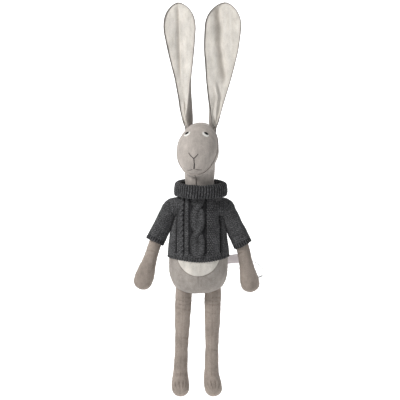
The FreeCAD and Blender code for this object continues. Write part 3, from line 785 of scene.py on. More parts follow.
def make_belly_patch():
    """The sewn-on cream half oval: a thin padded cap that follows the belly, with a turned edge; the seam round it is a
    groove in the torso's cover.
    """
    share = np.concatenate([np.linspace(0.0, 0.94, 30), np.linspace(0.95, 1.0, 8), [1.004, 1.0]])
    turn = np.linspace(0, 2 * math.pi, 120, endpoint=False)
    x = share[:, None] * BELLY_HALF_WIDE * np.cos(turn)
    up = BELLY_UP + share[:, None] * BELLY_HALF_TALL * np.sin(turn)
    radius = torso_radius(up)
    y = -TORSO_DEPTH * np.sqrt(np.clip(radius**2 - x**2, 1.0, None))
    grid = np.stack([x, y, up - WAIST_UP], axis=2)
    out = np.stack([x * TORSO_DEPTH**2, y, 0.25 * (up - 206.0)], axis=2)
    out /= np.linalg.norm(out, axis=2, keepdims=True)
    lift = 0.25 + 0.75 * unit((1.0 - share) / 0.06)[:, None] ** 0.5 + 0 * turn[None, :]
    lift[-1] = -1.2
    lift[-2] = 0.0
    lift += 0.25 * grain(grid, 9.0, 2.0) * (share < 0.95)[:, None]
    obj = closed_object("belly_patch_cloth", swell(grid, out, lift), "cream_velour", close_start=False)
    stand_for(obj, "torso", ["belly_patch"])


# ---- head ----------------------------------------------------------------------------------------------------
HEAD_TURN = math.radians(-12.0)
SKULL = np.array([0.0, -9.0, 57.0])
SKULL_HALF = np.array([31.3, 30.0, 44.0])
SKULL_LEAN = math.radians(30.0)
FACE_SEAM = 5.0
CROWN_Y = 1.95


def in_head(points):
    """From the head's own frame, whose origin is the neck joint, to the row frame."""
    c, s = math.cos(HEAD_TURN), math.sin(HEAD_TURN)
    x, y, z = points[..., 0], points[..., 1], points[..., 2]
    return np.stack([x * c - y * s, x * s + y * c, z], axis=-1) + JOINT["head_nod"]


def head_field(x, y, z):
    """Below zero inside the head: skull, jaw and nape blended into each other."""
    c, s = math.cos(SKULL_LEAN), math.sin(SKULL_LEAN)
    dy, dz = y - SKULL[1], z - SKULL[2]
    long, deep = dz * c + dy * s, dy * c - dz * s
    size = np.sqrt((x / SKULL_HALF[0]) ** 2 + (deep / SKULL_HALF[1]) ** 2 + (long / SKULL_HALF[2]) ** 2)
    skull = (size - 1.0) * 30.0
    top = np.clip(z, -6.0, 58.0)
    nape = np.sqrt(x**2 + y**2 + (z - top) ** 2) - (20.3 + (top + 6.0) * 5.9 / 64.0)
    blend = 5.0
    h = unit(0.5 + 0.5 * (nape - skull) / blend)
    return nape * (1 - h) + skull * h - blend * h * (1 - h) * 0.6


def head_grid():
    low, high = 90.0, 110.0
    for _ in range(30):
        middle = (low + high) / 2
        low, high = (middle, high) if head_field(0.0, CROWN_Y, middle) < 0 else (low, middle)
    top = low - 57.0
    levels = np.concatenate([np.linspace(-6, 13, 12), np.linspace(14, 27, 24), np.linspace(28, 56, 26),
                             57 + top * np.sin(np.linspace(0, math.pi / 2, 48)[:-1])])
    turn = np.linspace(0, 2 * math.pi, 144, endpoint=False)
    spine = np.interp(levels, [-6, 20, 57, 57 + top], [0, -6, -5, CROWN_Y])
    low, high = np.zeros((len(levels), len(turn))), np.full((len(levels), len(turn)), 70.0)
    for _ in range(34):
        middle = (low + high) / 2
        inside = head_field(middle * np.cos(turn), spine[:, None] - middle * np.sin(turn),
                            levels[:, None] + 0 * middle) < 0
        low, high = np.where(inside, middle, low), np.where(inside, high, middle)
    x = low * np.cos(turn)
    y = spine[:, None] - low * np.sin(turn)
    grid = np.stack([x, y, levels[:, None] + 0 * x], axis=2)
    tip = np.broadcast_to(np.array([0.0, CROWN_Y, 57.0 + top]), (1, len(turn), 3))
    return np.concatenate([grid, tip])


def face_plane(points):
    """Signed distance in front of the seam between the face panel and the side panels."""
    c, s = math.cos(SKULL_LEAN), math.sin(SKULL_LEAN)
    return -(points[..., 1] - SKULL[1] + FACE_SEAM) * c + (points[..., 2] - SKULL[2]) * s


def bump_at(grid, x, z, size, height):
    """A soft round swelling or dimple on the front of the head."""
    away = ((grid[..., 0] - x) ** 2 + (grid[..., 2] - z) ** 2) / size**2
    return height * np.exp(-away) * (grid[..., 1] < -5)


def face_point(surface, x, z, lift=0.0):
    """The point of the head's front cloth at (x, z), raised by lift, in the head's own frame."""
    place, normal, _, _ = surface.ray_cast(Vector((x, -90.0, z)), Vector((0.0, 1.0, 0.0)))
    normal = normal if normal.y < 0 else -normal
    return np.array(place + normal * lift)


EYE_AT, EYE_SLANT = (14.4, 82.0), math.radians(31.0)
NOSE_TIP, NOSE_WING, LIP, MOUTH_END = (0.6, 46.0), (7.4, 53.4), (0.4, 30.2), 11.4


def make_head():
    grid = head_grid()
    normal = outward(grid, normals_of(grid))
    normal[-1] = (0, 0, 1)
    height = grid[..., 2]
    relief = 0.8 * grain(grid, 26.0, 2.0) + 0.3 * grain(grid, 9.0, 6.0)
    relief += seam_relief(np.abs(face_plane(grid)), height, 0.22, 0.6, 0.12)
    middle = np.where(face_plane(grid) < 0, np.abs(grid[..., 0]), 99.0)
    relief += seam_relief(middle, height, 0.4, 0.8, 0.12)
    for side in SIDES.values():
        relief += bump_at(grid, side * (EYE_AT[0] - 1), EYE_AT[1] - 4, 6.5, -1.2)
        relief += bump_at(grid, side * 10.0, 36.0, 9.0, 1.3)
    relief += bump_at(grid, 0.5, 36.0, 3.2, -1.3) + bump_at(grid, 0.0, 68.0, 10.0, 0.9)
    relief[-1] = relief[-2].mean()
    held = (np.abs(face_plane(grid)) < 2.5) | (middle < 1.5) | (height < 6.0) | (height > 92.0)
    move = settle(grid, normal, held)
    cover = swell(grid, normal, relief) + move
    build_head_panels(cover)
    filled = in_head(swell(grid, normal, relief * 0.5 - FILL_INSET - 0.4))[::2, ::2]
    stand_for(closed_object("head_filling", filled, "fibrefill"), "head", ["head_stuffing"])
    make_face(BVHTree.FromPolygons(cover.reshape(-1, 3).tolist(), grid_faces(*cover.shape[:2], closed=True)))


def build_head_panels(cover):
    """Cuts the head's cover along its seams into the face panel and two side panels."""
    rows, cols = cover.shape[:2]
    whole = bmesh.new()
    verts = [whole.verts.new(point) for point in cover.reshape(-1, 3).tolist()]
    for face in grid_faces(rows, cols, closed=True):
        whole.faces.new([verts[i] for i in face])
    bmesh.ops.remove_doubles(whole, verts=whole.verts, dist=1e-3)
    c, s = math.cos(SKULL_LEAN), math.sin(SKULL_LEAN)
    for point, direction in (((0, SKULL[1] - FACE_SEAM, SKULL[2]), (0, -c, s)), ((0, 0, 0), (1, 0, 0))):
        geometry = whole.verts[:] + whole.edges[:] + whole.faces[:]
        bmesh.ops.bisect_plane(whole, geom=geometry, dist=1e-4, plane_co=point, plane_no=direction)
    whole.normal_update()
    for label, node in (("face", "head_face_panel"), ("side_left", "head_side_left"),
                        ("side_right", "head_side_right")):
        part = whole.copy()
        drop = []
        for face in part.faces:
            middle = face.calc_center_median()
            is_face = face_plane(np.array(middle)) > 0
            wanted = is_face if label == "face" else not is_face and (middle.x > 0) == (label == "side_left")
            if not wanted:
                drop.append(face)
        bmesh.ops.delete(part, geom=drop, context="FACES")
        turn_in_edges(part)
        points = in_head(np.array([v.co for v in part.verts]))
        part.verts.index_update()
        faces = [[v.index for v in face.verts] for face in part.faces]
        cloth = add_object(f"head_{label}_cloth", points, faces, "taupe_velour", material="head_velour", crisp=True)
        stand_for(cloth, "head", [node])
        part.free()
    whole.free()


def turn_in_edges(mesh):
    """Folds the open edges of a panel inwards, as a seam allowance."""
    mesh.normal_update()
    rim = [edge for edge in mesh.edges if edge.is_boundary]
    inwards = {v: -v.normal * TUCK for edge in rim for v in edge.verts}
    made = bmesh.ops.extrude_edge_only(mesh, edges=rim)
    old = {tuple(round(c, 5) for c in v.co): move for v, move in inwards.items()}
    for item in made["geom"]:
        if isinstance(item, bmesh.types.BMVert):
            item.co += old.get(tuple(round(c, 5) for c in item.co), Vector((0, 0, 0)))


def strand_mesh(paths, radius, sides=6):
    """Tubes with closed ends along several paths of points, as one set of points and faces."""
    verts, faces = [], []
    for path in paths:
        path = np.asarray(path, float)
        tangent = np.gradient(path, axis=0)
        tangent /= np.linalg.norm(tangent, axis=1, keepdims=True) + 1e-9
        first = np.cross(tangent, (0.0, -1.0, 0.15))
        first /= np.linalg.norm(first, axis=1, keepdims=True) + 1e-9
        second = np.cross(tangent, first)
        turn = np.linspace(0, 2 * math.pi, sides, endpoint=False)
        taper = radius * unit(np.minimum(np.arange(len(path)), np.arange(len(path))[::-1]) * 0.5 + 0.45)
        ring = (path[:, None] + first[:, None] * (taper[:, None] * np.cos(turn))[..., None]
                + second[:, None] * (taper[:, None] * np.sin(turn))[..., None])
        start = len(verts)
        verts += ring.reshape(-1, 3).tolist()
        faces += grid_faces(len(path), sides, closed=True, start=start)
        faces.append(tuple(start + i for i in range(sides))[::-1])
        faces.append(tuple(start + (len(path) - 1) * sides + i for i in range(sides)))
    return np.array(verts), faces


def stitch_between(surface, a, b, lift, arch, points=7):
    """One thread laid on the face from a to b, both (x, z), arching a little over the cloth."""
    path = []
    for share in np.linspace(0, 1, points):
        x, z = a[0] + (b[0] - a[0]) * share, a[1] + (b[1] - a[1]) * share
        path.append(face_point(surface, x, z, lift + arch * math.sin(math.pi * share)))
    return in_head(np.array(path))


def bundle(surface, line, widths, count, lift, arch=0.1):
    """Several threads side by side along a line of (x, z) points, the bundle as wide as given at each of them."""
    line, paths = np.array(line, float), []
    along = np.gradient(line, axis=0)
    across = np.column_stack([-along[:, 1], along[:, 0]]) / np.linalg.norm(along, axis=1)[:, None]
    for share in np.linspace(-0.5, 0.5, count):
        route = line + across * share * np.array(widths)[:, None]
        pieces = [stitch_between(surface, a, b, lift + 0.15 * math.cos(share * math.pi), arch, 6)
                  for a, b in zip(route[:-1], route[1:])]
        paths.append(np.concatenate([piece[:-1] for piece in pieces] + [pieces[-1][-1:]]))
    return paths


def eye_threads(surface, side, half_wide, top, bottom, middle, lift):
    """Satin stitches across an eye: top and bottom are its heights above and below the slanted axis."""
    slant = -side * EYE_SLANT
    axis = np.array([math.cos(slant), math.sin(slant)])
    rise = np.array([-axis[1], axis[0]])
    centre = np.array([side * EYE_AT[0], EYE_AT[1]]) + rise * middle
    paths = []
    for across in np.arange(-half_wide + 0.15, half_wide, 0.36):
        share = math.sqrt(max(0.0, 1 - (across / half_wide) ** 2))
        start = centre + axis * across + rise * top * share
        end = centre + axis * (across + 0.25) - rise * bottom * share
        paths.append(stitch_between(surface, start, end, lift, 0.22, 6))
    return paths


def make_face(surface):
    for name, side in SIDES.items():
        white = strand_mesh(eye_threads(surface, side, 5.6, 0.9, 3.5, 0.0, 0.1), 0.27)
        stand_for(add_object(f"eye_white_{name}_stitches", *white, "white_thread"), "head", [f"eye_white_{name}"])
        pupil = strand_mesh(eye_threads(surface, side, 3.5, 1.5, 1.5, 0.6, 0.45), 0.27)
        stand_for(add_object(f"eye_pupil_{name}_stitches", *pupil, "black_thread"), "head", [f"eye_pupil_{name}"])
    tip = np.array(NOSE_TIP)
    strokes = []
    for side, lift in ((-1.0, 0.9), (1.0, -0.3)):
        wing = np.array([side * NOSE_WING[0] - 0.6, NOSE_WING[1] + lift])
        strokes += bundle(surface, [wing, (wing + tip) / 2 - [0.0, 0.6], tip], (0.15, 0.5, 0.5), 3, 0.2)
    strokes += bundle(surface, [tip, (1.1, 41.8), (1.1, 37.8), (0.8, 33.8), LIP], (0.4, 0.4, 0.6, 1.1, 1.2), 4, 0.25)
    stand_for(add_object("nose_stitching", *strand_mesh(strokes, 0.30), "black_thread"), "head", ["nose_stitches"])
    lips = []
    for side in (-1.0, 1.0):
        reach = np.linspace(2.2, MOUTH_END, 6)
        line = [(side * x + 0.4, 29.6 - 1.3 * math.sin((x - 2.2) / 6.0) + 0.25 * side * (x - 2.2) / 3) for x in reach]
        lips += bundle(surface, line, (0.2, 0.25, 0.25, 0.2, 0.15, 0.05), 2, 0.02, 0.02)
    stand_for(add_object("mouth_stitching", *strand_mesh(lips, 0.21), "black_thread"), "head", ["mouth_stitches"])


# ---- ears ----------------------------------------------------------------------------------------------------
EAR_LONG, EAR_LEAN = 188.5, math.radians(5.0)
EAR_HALF_WIDE = {"left": 27.7, "right": 24.4}
EAR_ACROSS = np.linspace(-1, 1, 57)[None, :]     # from edge to edge
EAR_SHAPE = {
    "left": [(0.0, 0.20), (0.05, 0.27), (0.15, 0.35), (0.25, 0.48), (0.375, 0.645), (0.505, 0.80), (0.633, 0.94),
             (0.78, 1.0), (0.87, 0.955), (0.93, 0.80), (0.968, 0.58), (0.99, 0.33), (1.0, 0.0)],
    "right": [(0.0, 0.22), (0.05, 0.30), (0.15, 0.38), (0.27, 0.42), (0.40, 0.52), (0.505, 0.67), (0.633, 0.84),
              (0.78, 1.0), (0.87, 0.965), (0.93, 0.78), (0.968, 0.54), (0.99, 0.30), (1.0, 0.0)],
}
EAR_SWAY = {
    "left": ((0.0, 0.15, 0.5, 1.0), (1.2, 3.0, 4.2, 4.2)),
    "right": ((0.0, 0.15, 0.35, 0.6, 0.85), (0.0, -1.4, -2.2, -1.2, 0.0)),
}
CREASE = {
    "left": ((0.378, 0.50, 0.66, 0.83, 0.96), (0.56, 0.20, -0.10, -0.22, -0.60)),
    "right": ((0.40, 0.507, 0.80, 0.93), (-0.33, -0.22, -0.06, -0.03)),
}
WRAP = {
    "left": ((0.0, 0.06, 0.12, 0.20, 0.30), (7.0, 6.6, 3.8, 1.6, 0.8)),
    "right": ((0.0, 0.06, 0.12, 0.19, 0.25, 0.31, 0.40), (9.5, 9.5, 8.0, 5.5, 3.8, 2.2, 0.5)),
}


def in_ear(points, side):
    """From the ear's own frame, upright on its joint, to the row frame."""
    name = "left" if side > 0 else "right"
    c, s = math.cos(side * EAR_LEAN), math.sin(side * EAR_LEAN)
    share = points[..., 2] / EAR_LONG
    sway = np.interp(share, *EAR_SWAY[name])
    x, y, z = points[..., 0] + sway, points[..., 1], points[..., 2]
    leaned = np.stack([x * c + z * s, y, z * c - x * s], axis=-1)
    return in_head(leaned) - JOINT["head_nod"] + JOINT[f"ear_flop_{name}"]


def ear_rows():
    """Shares of the ear's length, closer together towards the round tip."""
    return np.concatenate([np.linspace(-0.045, 0.86, 74),
                           1 - 0.14 * np.cos(np.linspace(0, math.pi / 2, 34)[1:]) ** 1.6])


def ear_width(name, share):
    table = np.array(EAR_SHAPE[name])
    body = smooth_curve(table[:-5], np.minimum(share, table[-6, 0]))[:, 0]
    cap = unit(1 - unit((share - 0.80) / 0.20) ** 2.3) ** 0.62
    return EAR_HALF_WIDE[name] * np.where(share > 0.80, cap, body)


def ear_depth(name, across, share, half):
    """How far back the ear's middle layer lies: a trough with a crease down it, and smaller folds low down."""
    middle = np.interp(share[:, 0], *CREASE[name])[:, None]
    away = across - middle * unit(share / 0.4)
    edges = -0.13 * half[:, None] * (np.sqrt(away**2 + 0.01) - 0.1) * (1 + 0.3 * np.abs(away))
    low, gentle, steep, deep = (0.34, 8.0, 4.6, 4.6) if name == "left" else (0.38, 4.6, 0.9, 2.8)
    wide = np.where(away < 0, gentle, steep)
    strength = unit((share - low) / 0.08) * unit((0.985 - share) / 0.05)
    crease = deep * strength * hill(away * half[:, None], wide)
    x = across * half[:, None]
    if name == "left":
        ridge = np.interp(share, (0.10, 0.25, 0.35), (1.0, 2.0, -4.5))
        fold = -2.4 * hill(x - ridge, 2.6) * unit((0.37 - share) / 0.05) * unit(share / 0.1)
        fold = fold + 1.8 * hill(x - ridge - 4.2, 2.2) * unit((0.36 - share) / 0.06) * unit(share / 0.1)
    else:
        dent = hill(share - 0.165, 0.035)
        fold = 1.9 * hill(x + 0.5, 1.5) * dent - 1.2 * hill(x + 3.6, 1.8) * dent
    return edges + crease + fold


def make_ear(name, side):
    share = ear_rows()[:, None]
    half = ear_width(name, share[:, 0])
    wrap = np.minimum(np.interp(share[:, 0], *WRAP[name]), half * 1.15)[:, None]
    pleat = hill(share, 0.13)

    def layer(offset, spread, narrow=0.0):
        """A sheet of the ear, offset behind its middle. Its inner edge may be narrowed, and rolls forwards there."""
        across = EAR_ACROSS
        inner = unit((-side * across + 0.25) / 1.25)
        x = across * (half[:, None] + spread) + side * narrow * wrap * inner**1.3
        thick = unit(1 - np.abs(across) ** 3.5) * unit(half[:, None] / 9.0)
        y = ear_depth(name, across, share, half) + offset * (0.25 + 0.75 * thick)
        y = y - narrow * 0.85 * wrap * inner**2
        y = y + 0.9 * pleat * np.sin(x * 1.9 + 0.6 * np.sin(share * 60))
        return np.stack([x, y, share * EAR_LONG + 0 * x], axis=2)

    lining = layer(-1.7, -0.25, 1.0)
    back = layer(1.7, 0.3)
    lining[..., 1] += 0.45 * grain(lining, 15.0, 4 + side) + 0.18 * grain(lining, 5.0, 9 + side)
    back[..., 1] += 0.45 * grain(back, 15.0, 8 + side)
    batting = (lining * 0.5 + back * 0.5)[4:-6, 4:-4:2]
    # painted shade: a dark band on the ear lining beside its crease, where the trough turns away from the light
    beside, wide, dark = (3.0, 4.2, 0.60) if side > 0 else (2.2, 2.6, 0.30)
    crease = np.interp(share[:, 0], *CREASE[name])[:, None] * half[:, None]
    valley_shade = dark * hill(EAR_ACROSS * half[:, None] - crease + beside, wide)
    valley_shade = valley_shade * unit((share - 0.30) / 0.12) * unit((0.985 - share) / 0.06)
    shapes = (("lining_cloth", shell(lining, 0.55, -1), "cream_velour", None, f"ear_lining_{name}"),
              ("interlining", shell(batting, 0.5, 0), "ear_interlining", None, f"ear_batting_{name}"),
              ("back_cloth", shell(wrap_edges(side, back, wrap[:, 0]), 0.7, 1), "taupe_velour_back", "ear_back_shaded_velour",
               f"ear_back_{name}"))
    for label, (points, faces), slot, material, node in shapes:
        hollow = np.tile(valley_shade.ravel(), 2) if label == "lining_cloth" else None
        obj = add_object(f"ear_{name}_{label}", in_ear(points, side), faces, slot, material=material, hollow=hollow)
        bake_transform(obj)
        stand_for(obj, None, [node])


def wrap_edges(side, back, wrap):
    """The back cloth with its edges turned to the front: a thin rim outside, and a wide wrap low on the inner side."""
    columns = back
    for edge, sign in ((back[:, 0], 1.0), (back[:, -1], -1.0)):
        wide = wrap if sign == side else np.full(len(wrap), 0.2)
        wide = np.minimum(wide, np.abs(edge[:, 0]) * 1.1 + 0.05)
        strips = []
        for step in (0.1, 0.3, 0.5, 0.7, 0.9, 1.0):
            strip = edge.copy()
            strip[:, 0] += sign * (wide * step - 0.3 * (1 - step))
            strip[:, 1] -= 2.3 * min(1.0, step * 3.0) + 0.85 * wide * math.sin(step * math.pi / 2) + 0.3 * (step < 0.95)
            strips.append(strip)
        strips = np.stack(strips, axis=1)
        columns = np.concatenate([strips[:, ::-1], columns] if sign > 0 else [columns, strips], axis=1)
    return columns


def shell(grid, thickness, side):
    """A sheet given thickness: its front or back face stays put by side (-1, 1), or it grows both ways (0)."""
    normal = normals_of(grid, closed=False)
    normal *= np.where(normal[..., 1].mean() > 0, 1.0, -1.0)
    front = grid - normal * thickness * (0.5 if side == 0 else (0.0 if side < 0 else 1.0))
    rear = grid + normal * thickness * (0.5 if side == 0 else (1.0 if side < 0 else 0.0))
    rows, cols = grid.shape[:2]
    verts = np.concatenate([front.reshape(-1, 3), rear.reshape(-1, 3)])
    count = rows * cols
    faces = grid_faces(rows, cols) + [tuple(reversed(f)) for f in grid_faces(rows, cols, start=count)]
    rim = [(0, c) for c in range(cols)] + [(r, cols - 1) for r in range(1, rows)]
    rim += [(rows - 1, c) for c in range(cols - 2, -1, -1)] + [(r, 0) for r in range(rows - 2, 0, -1)]
    loop = [r * cols + c for r, c in rim]
    for a, b in zip(loop, loop[1:] + loop[:1]):
        faces.append((b, a, a + count, b + count))
    return verts, faces


# ---- knitting ------------------------------------------------------------------------------------------------
WALE, COURSE = 3.6, 2.7       # width and height of one stitch
ROW_STEP = 0.42               # rib length per row of a hem or cuff
COLLAR_UP = 318.6             # the height the collar leans about


def knit_stitch(u, v, wale=WALE):
    """Stocking stitch: columns of nested Vs. u runs along a row and v up a column."""
    x = np.abs((u / wale) % 1 - 0.5) * 2
    leg = ((v / COURSE - 0.62 * x) % 1 - 0.5) * 2
    ridge = unit(1 - np.abs(leg) ** 2.4) ** 0.55
    dome = unit(1 - np.abs(2 * x - 1) ** 2.6) ** 0.55
    return ridge * dome


def purl_stitch(u, v):
    """Moss stitch: rows of small bumps, half a stitch apart from row to row."""
    row = np.floor(v / COURSE)
    x = (u / WALE + 0.5 * (row % 2)) % 1 - 0.5
    y = (v / COURSE) % 1 - 0.5
    return unit(1 - (x / 0.50) ** 2 - (y / 0.52) ** 2) ** 0.5


def rib(u, v, pitch=4.4):
    """One by one rib: knit columns that stand up, with ditches between them."""
    phase = (u / pitch) % 1 - 0.5
    ridge = unit(np.cos(phase * 2 * math.pi) * 0.62 + 0.55) ** 0.8
    return ridge * (0.30 + 0.70 * knit_stitch(u, v, pitch))


def cable(u, v, half, period, strand_half, height):
    """Two strands that cross each other, always the same way over. Gives the relief and how deep each point lies, from
    which the yarn paints shade off and between the strands.
    """
    phase = math.pi * v / period
    swing = half * np.tanh(1.5 * np.cos(phase)) / math.tanh(1.5)
    best, depth = np.full(np.broadcast(u, v).shape, 0.0), np.full(np.broadcast(u, v).shape, 0.12)
    for sign in (1.0, -1.0):
        local = u - sign * swing
        dome = np.sqrt(unit(1 - (local / strand_half) ** 2))
        over = np.clip(-sign * np.sin(phase), -0.35, 1)
        stitch = knit_stitch(local + WALE / 2, v - 0.45 * sign * local * np.sin(phase))
        relief = np.where(dome > 0, dome * height * (0.70 + 0.65 * over) + 1.1 * stitch * (dome > 0.15), 0)
        higher = relief > best
        depth = np.where(higher, unit(dome * 1.15 - 0.15) * (0.15 + 0.85 * stitch), depth)
        best = np.where(higher, relief, best)
    return best, depth


def body_pattern(u, v):
    """Relief and depth of the sweater's front: a cable, a rope, moss stitch and plain knitting, with purl ditches."""
    depth = knit_stitch(u, v)
    relief = 1.1 * depth
    moss = purl_stitch(u, v)
    in_moss = (u > 11.5) & (u < 24.5)
    relief, depth = np.where(in_moss, 1.2 * moss, relief), np.where(in_moss, moss, depth)
    for middle, start, half_wide, shape in ((-27.0, 3.0, 4.6, (1.8, 7.5, 2.6, 1.6)),
                                            (-1.5, -14.0, 12.4, (5.2, 37.0, 6.2, 2.3))):
        inside = np.abs(u - middle) < half_wide
        twist, deep = cable(u - middle, v + start, *shape)
        relief, depth = np.where(inside, twist, relief), np.where(inside, deep, depth)
    # purl ditches: sunk in the relief, with painted shade in them through a lower depth
    for ditch, wide, deep in ((-37.0, 1.9, 2.6), (36.6, 2.3, 3.4), (-14.6, 1.0, 1.0),
                              (-22.2, 0.9, 1.0), (11.6, 1.0, 1.0)):
        groove = hill(u - ditch, wide)
        relief, depth = relief - deep * groove, depth * (1 - 0.9 * groove)
    return relief, depth


# the radius that limits how deep the sweater is, before it is flattened
SWEATER_DEEP = [(48.6, 216.2), (47.4, 226.0), (44.6, 239.0), (39.8, 254.0), (33.4, 269.0), (28.8, 285.0),
                   (27.6, 297.0), (26.8, 304.0), (26.6, 312.0)]
SWEATER_DEPTH = 0.81
# the radius across the sweater
SWEATER_WIDE = [(48.0, 209.0), (47.6, 216.0), (47.0, 222.0), (45.2, 238.0), (43.8, 248.0), (42.6, 256.0), (41.2, 264.0),
                (39.0, 272.0), (36.2, 280.0), (32.6, 288.0), (29.4, 296.0), (27.6, 304.0), (26.8, 312.0)]


def radius_at(profile, up):
    """Radius at each height, from a profile of (radius, height)."""
    keys = [(height, radius) for radius, height in profile]
    return smooth_curve(keys, np.asarray(up, float))[:, 0]


def sweater_half(name, facing):
    """The front (facing -1) or back (1) of the sweater's body above the hem rib."""
    rows, cols = 200, 300
    up = np.linspace(216.5, 311.0, rows)
    radius = radius_at(SWEATER_WIDE, up)[:, None] - 1.0
    turn = np.linspace(-math.pi / 2, math.pi / 2, cols)[None, :]
    armpit = hill(up[:, None] - 268.0, 16.0) * np.abs(np.sin(turn)) ** 6
    fold = 0.9 * np.sin(turn * 5.0 + 0.6 + up[:, None] / 25.0) * unit((up[:, None] - 225) / 20)
    drape = 1.3 * np.sin(turn * 14.0 + up[:, None] / 9.0) * armpit
    x = (radius + fold * 0.6) * np.sin(turn)
    reach = np.minimum(radius, radius_at(SWEATER_DEEP, up)[:, None] + 0.5) + fold * 0.6 + drape
    y = facing * SWEATER_DEPTH * reach * np.cos(turn)
    grid = np.stack([x, y, up[:, None] - WAIST_UP + 0 * x], axis=2)
    steps = np.linalg.norm(np.diff(grid, axis=1), axis=2)
    arc = np.concatenate([np.zeros((rows, 1)), np.cumsum(steps, axis=1)], axis=1)
    u = arc - arc[:, cols // 2:cols // 2 + 1]
    v = up[:, None] + 0 * u
    depth = knit_stitch(u, v)
    relief = 1.1 * depth
    if facing < 0:
        relief, depth = body_pattern(u, v)
    normal = outward(grid, normals_of(grid, closed=False))
    tucked = 2.0 * unit((219.0 - up[:, None]) / 2.5)
    cover = swell(grid, normal, relief + 0.6 * grain(grid, 14.0, 3.0) - tucked)
    stand_for(add_object(f"sweater_{name}_knit", cover.reshape(-1, 3), grid_faces(rows, cols), "grey_knit", depth),
              "torso", [f"sweater_{name}"])


def ring_of(profile, cols, shape):
    """A closed ring: profile is a loop of (radius, height) and shape maps radius, angle and height to a point."""
    turn = np.linspace(0, 2 * math.pi, cols, endpoint=False)
    radius, height = profile[:, :1], profile[:, 1:2]
    return shape(radius + 0 * turn, turn[None, :], height + 0 * turn)


def make_hem():
    """The ribbed hem: down the outside, round the edge and up the inside."""
    outside = [(44.9 + 1.6 * s, 222.0 - 12.0 * s) for s in np.linspace(0, 1, 28)]
    edge = [(45.7 + 1.2 * math.cos(a), 209.6 - 1.2 * math.sin(a)) for a in np.linspace(0.3, math.pi, 7)]
    inside = [(44.5, 209.6 + s * 9.0) for s in np.linspace(0.1, 1, 8)]
    profile = np.array(outside + edge + inside)

    def shape(radius, turn, height):
        sides = np.abs(np.cos(turn)) ** 1.5
        lift = 4.8 * sides + 1.3 + 0.5 * np.sin(turn * 3 + 1)
        lifted = height + lift * unit((222.0 - height) / 11.0)
        return np.stack([radius * np.cos(turn), -SWEATER_DEPTH * radius * np.sin(turn), lifted - WAIST_UP], axis=2)

    grid = ring_of(profile, 600, shape)
    normal = normals_of(grid)
    normal *= np.sign(np.sum(normal[5] * grid[5] * [1, 1, 0], axis=1).mean())
    around, pitch = ribs_round(grid[10], 3.9)
    down = np.arange(len(profile))[:, None] * ROW_STEP
    ribbed = unit((np.arange(len(profile))[:, None] - 12) / 12.0)
    depth = (rib(around, -down, pitch) * (0.25 + 0.6 * ribbed)
             + knit_stitch(around, -down, pitch) * (0.75 - 0.6 * ribbed))
    fade = np.interp(np.arange(len(profile)), [0, 8, 26, 31, 42], [0.75, 1.0, 0.9, 0.5, 0.4])[:, None]
    cover = swell(grid, normal, 1.25 * depth * fade + 0.4 * grain(grid, 14.0, 3.0))
    cover[26:33, :, 2] -= 0.45 * (depth[26:33] - 0.4)
    # the depth is lifted a little, so the painted shade between the ribs is lighter
    stand_for(ring_object("sweater_hem_rib", cover, "grey_rib", depth * 0.9 + 0.1), "torso", ["sweater_hem"])


def make_collar():
    """The rolled collar: the tube folds outwards and hangs down as a ribbed cuff round the neck."""
    inner = [(30.2 - 1.2 * math.sin(s * math.pi), 308.6 + 14.0 * s) for s in np.linspace(0, 1, 22)]
    roll = [(34.7 - 4.5 * math.cos(a), 322.6 + 5.6 * math.sin(a)) for a in np.linspace(0.15, math.pi - 0.15, 22)]
    outer = [(39.2 + 1.0 * math.sin(s * 2.4), 322.0 - 12.6 * s) for s in np.linspace(0, 1, 28)]
    edge = [(38.6 + 1.3 * math.cos(a), 309.4 - 1.3 * math.sin(a)) for a in np.linspace(0.2, math.pi, 7)]
    under = [(37.0 - 5.0 * s, 310.4 + 1.5 * math.sin(s * math.pi)) for s in np.linspace(0.1, 1, 9)]
    profile = np.array(inner + roll + outer + edge + under)
    profile = np.vstack([profile, profile[:1]])
    lean = math.radians(5.0)

    def shape(radius, turn, height):
        wave = 0.8 * np.sin(turn * 2 + 0.8) + 0.5 * np.sin(turn * 5)
        x = 3.5 + (radius + 0.5 * wave) * np.cos(turn)
        y = -0.91 * (radius + 0.4 * wave) * np.sin(turn)
        z = height - COLLAR_UP + 0.4 * wave
        return np.stack([x, y * math.cos(lean) - z * math.sin(lean),
                         z * math.cos(lean) + y * math.sin(lean) + COLLAR_UP - WAIST_UP], axis=2)

    grid = ring_of(profile, 460, shape)
    normal = normals_of(grid)
    centre = grid.mean(axis=0, keepdims=True)
    normal *= np.sign(np.sum(normal * (grid - centre), axis=2).mean())
    around, pitch = ribs_round(grid[60], 4.4)
    length = np.concatenate([[0], np.cumsum(np.hypot(*np.diff(profile, axis=0).T))])[:, None]
    depth = rib(around + 0.7 * np.sin(length / 4) + 0.4 * grain(grid, 9.0, 8.0), length, pitch)
    cover = swell(grid, normal, 1.25 * depth + 0.9 * grain(grid, 15.0, 5.0) - 0.6)
    cover, depth = cover[:-1], depth[:-1]
    faces = grid_faces(*cover.shape[:2], closed=True)
    rows, cols = cover.shape[:2]
    faces += [((rows - 1) * cols + c, (rows - 1) * cols + (c + 1) % cols, (c + 1) % cols, c) for c in range(cols)]
    stand_for(add_object("sweater_collar_rib", cover.reshape(-1, 3), faces, "grey_rib", depth), "torso",
              ["sweater_collar"])


SLEEVE_LONG = {"left": 64.0, "right": 58.0}


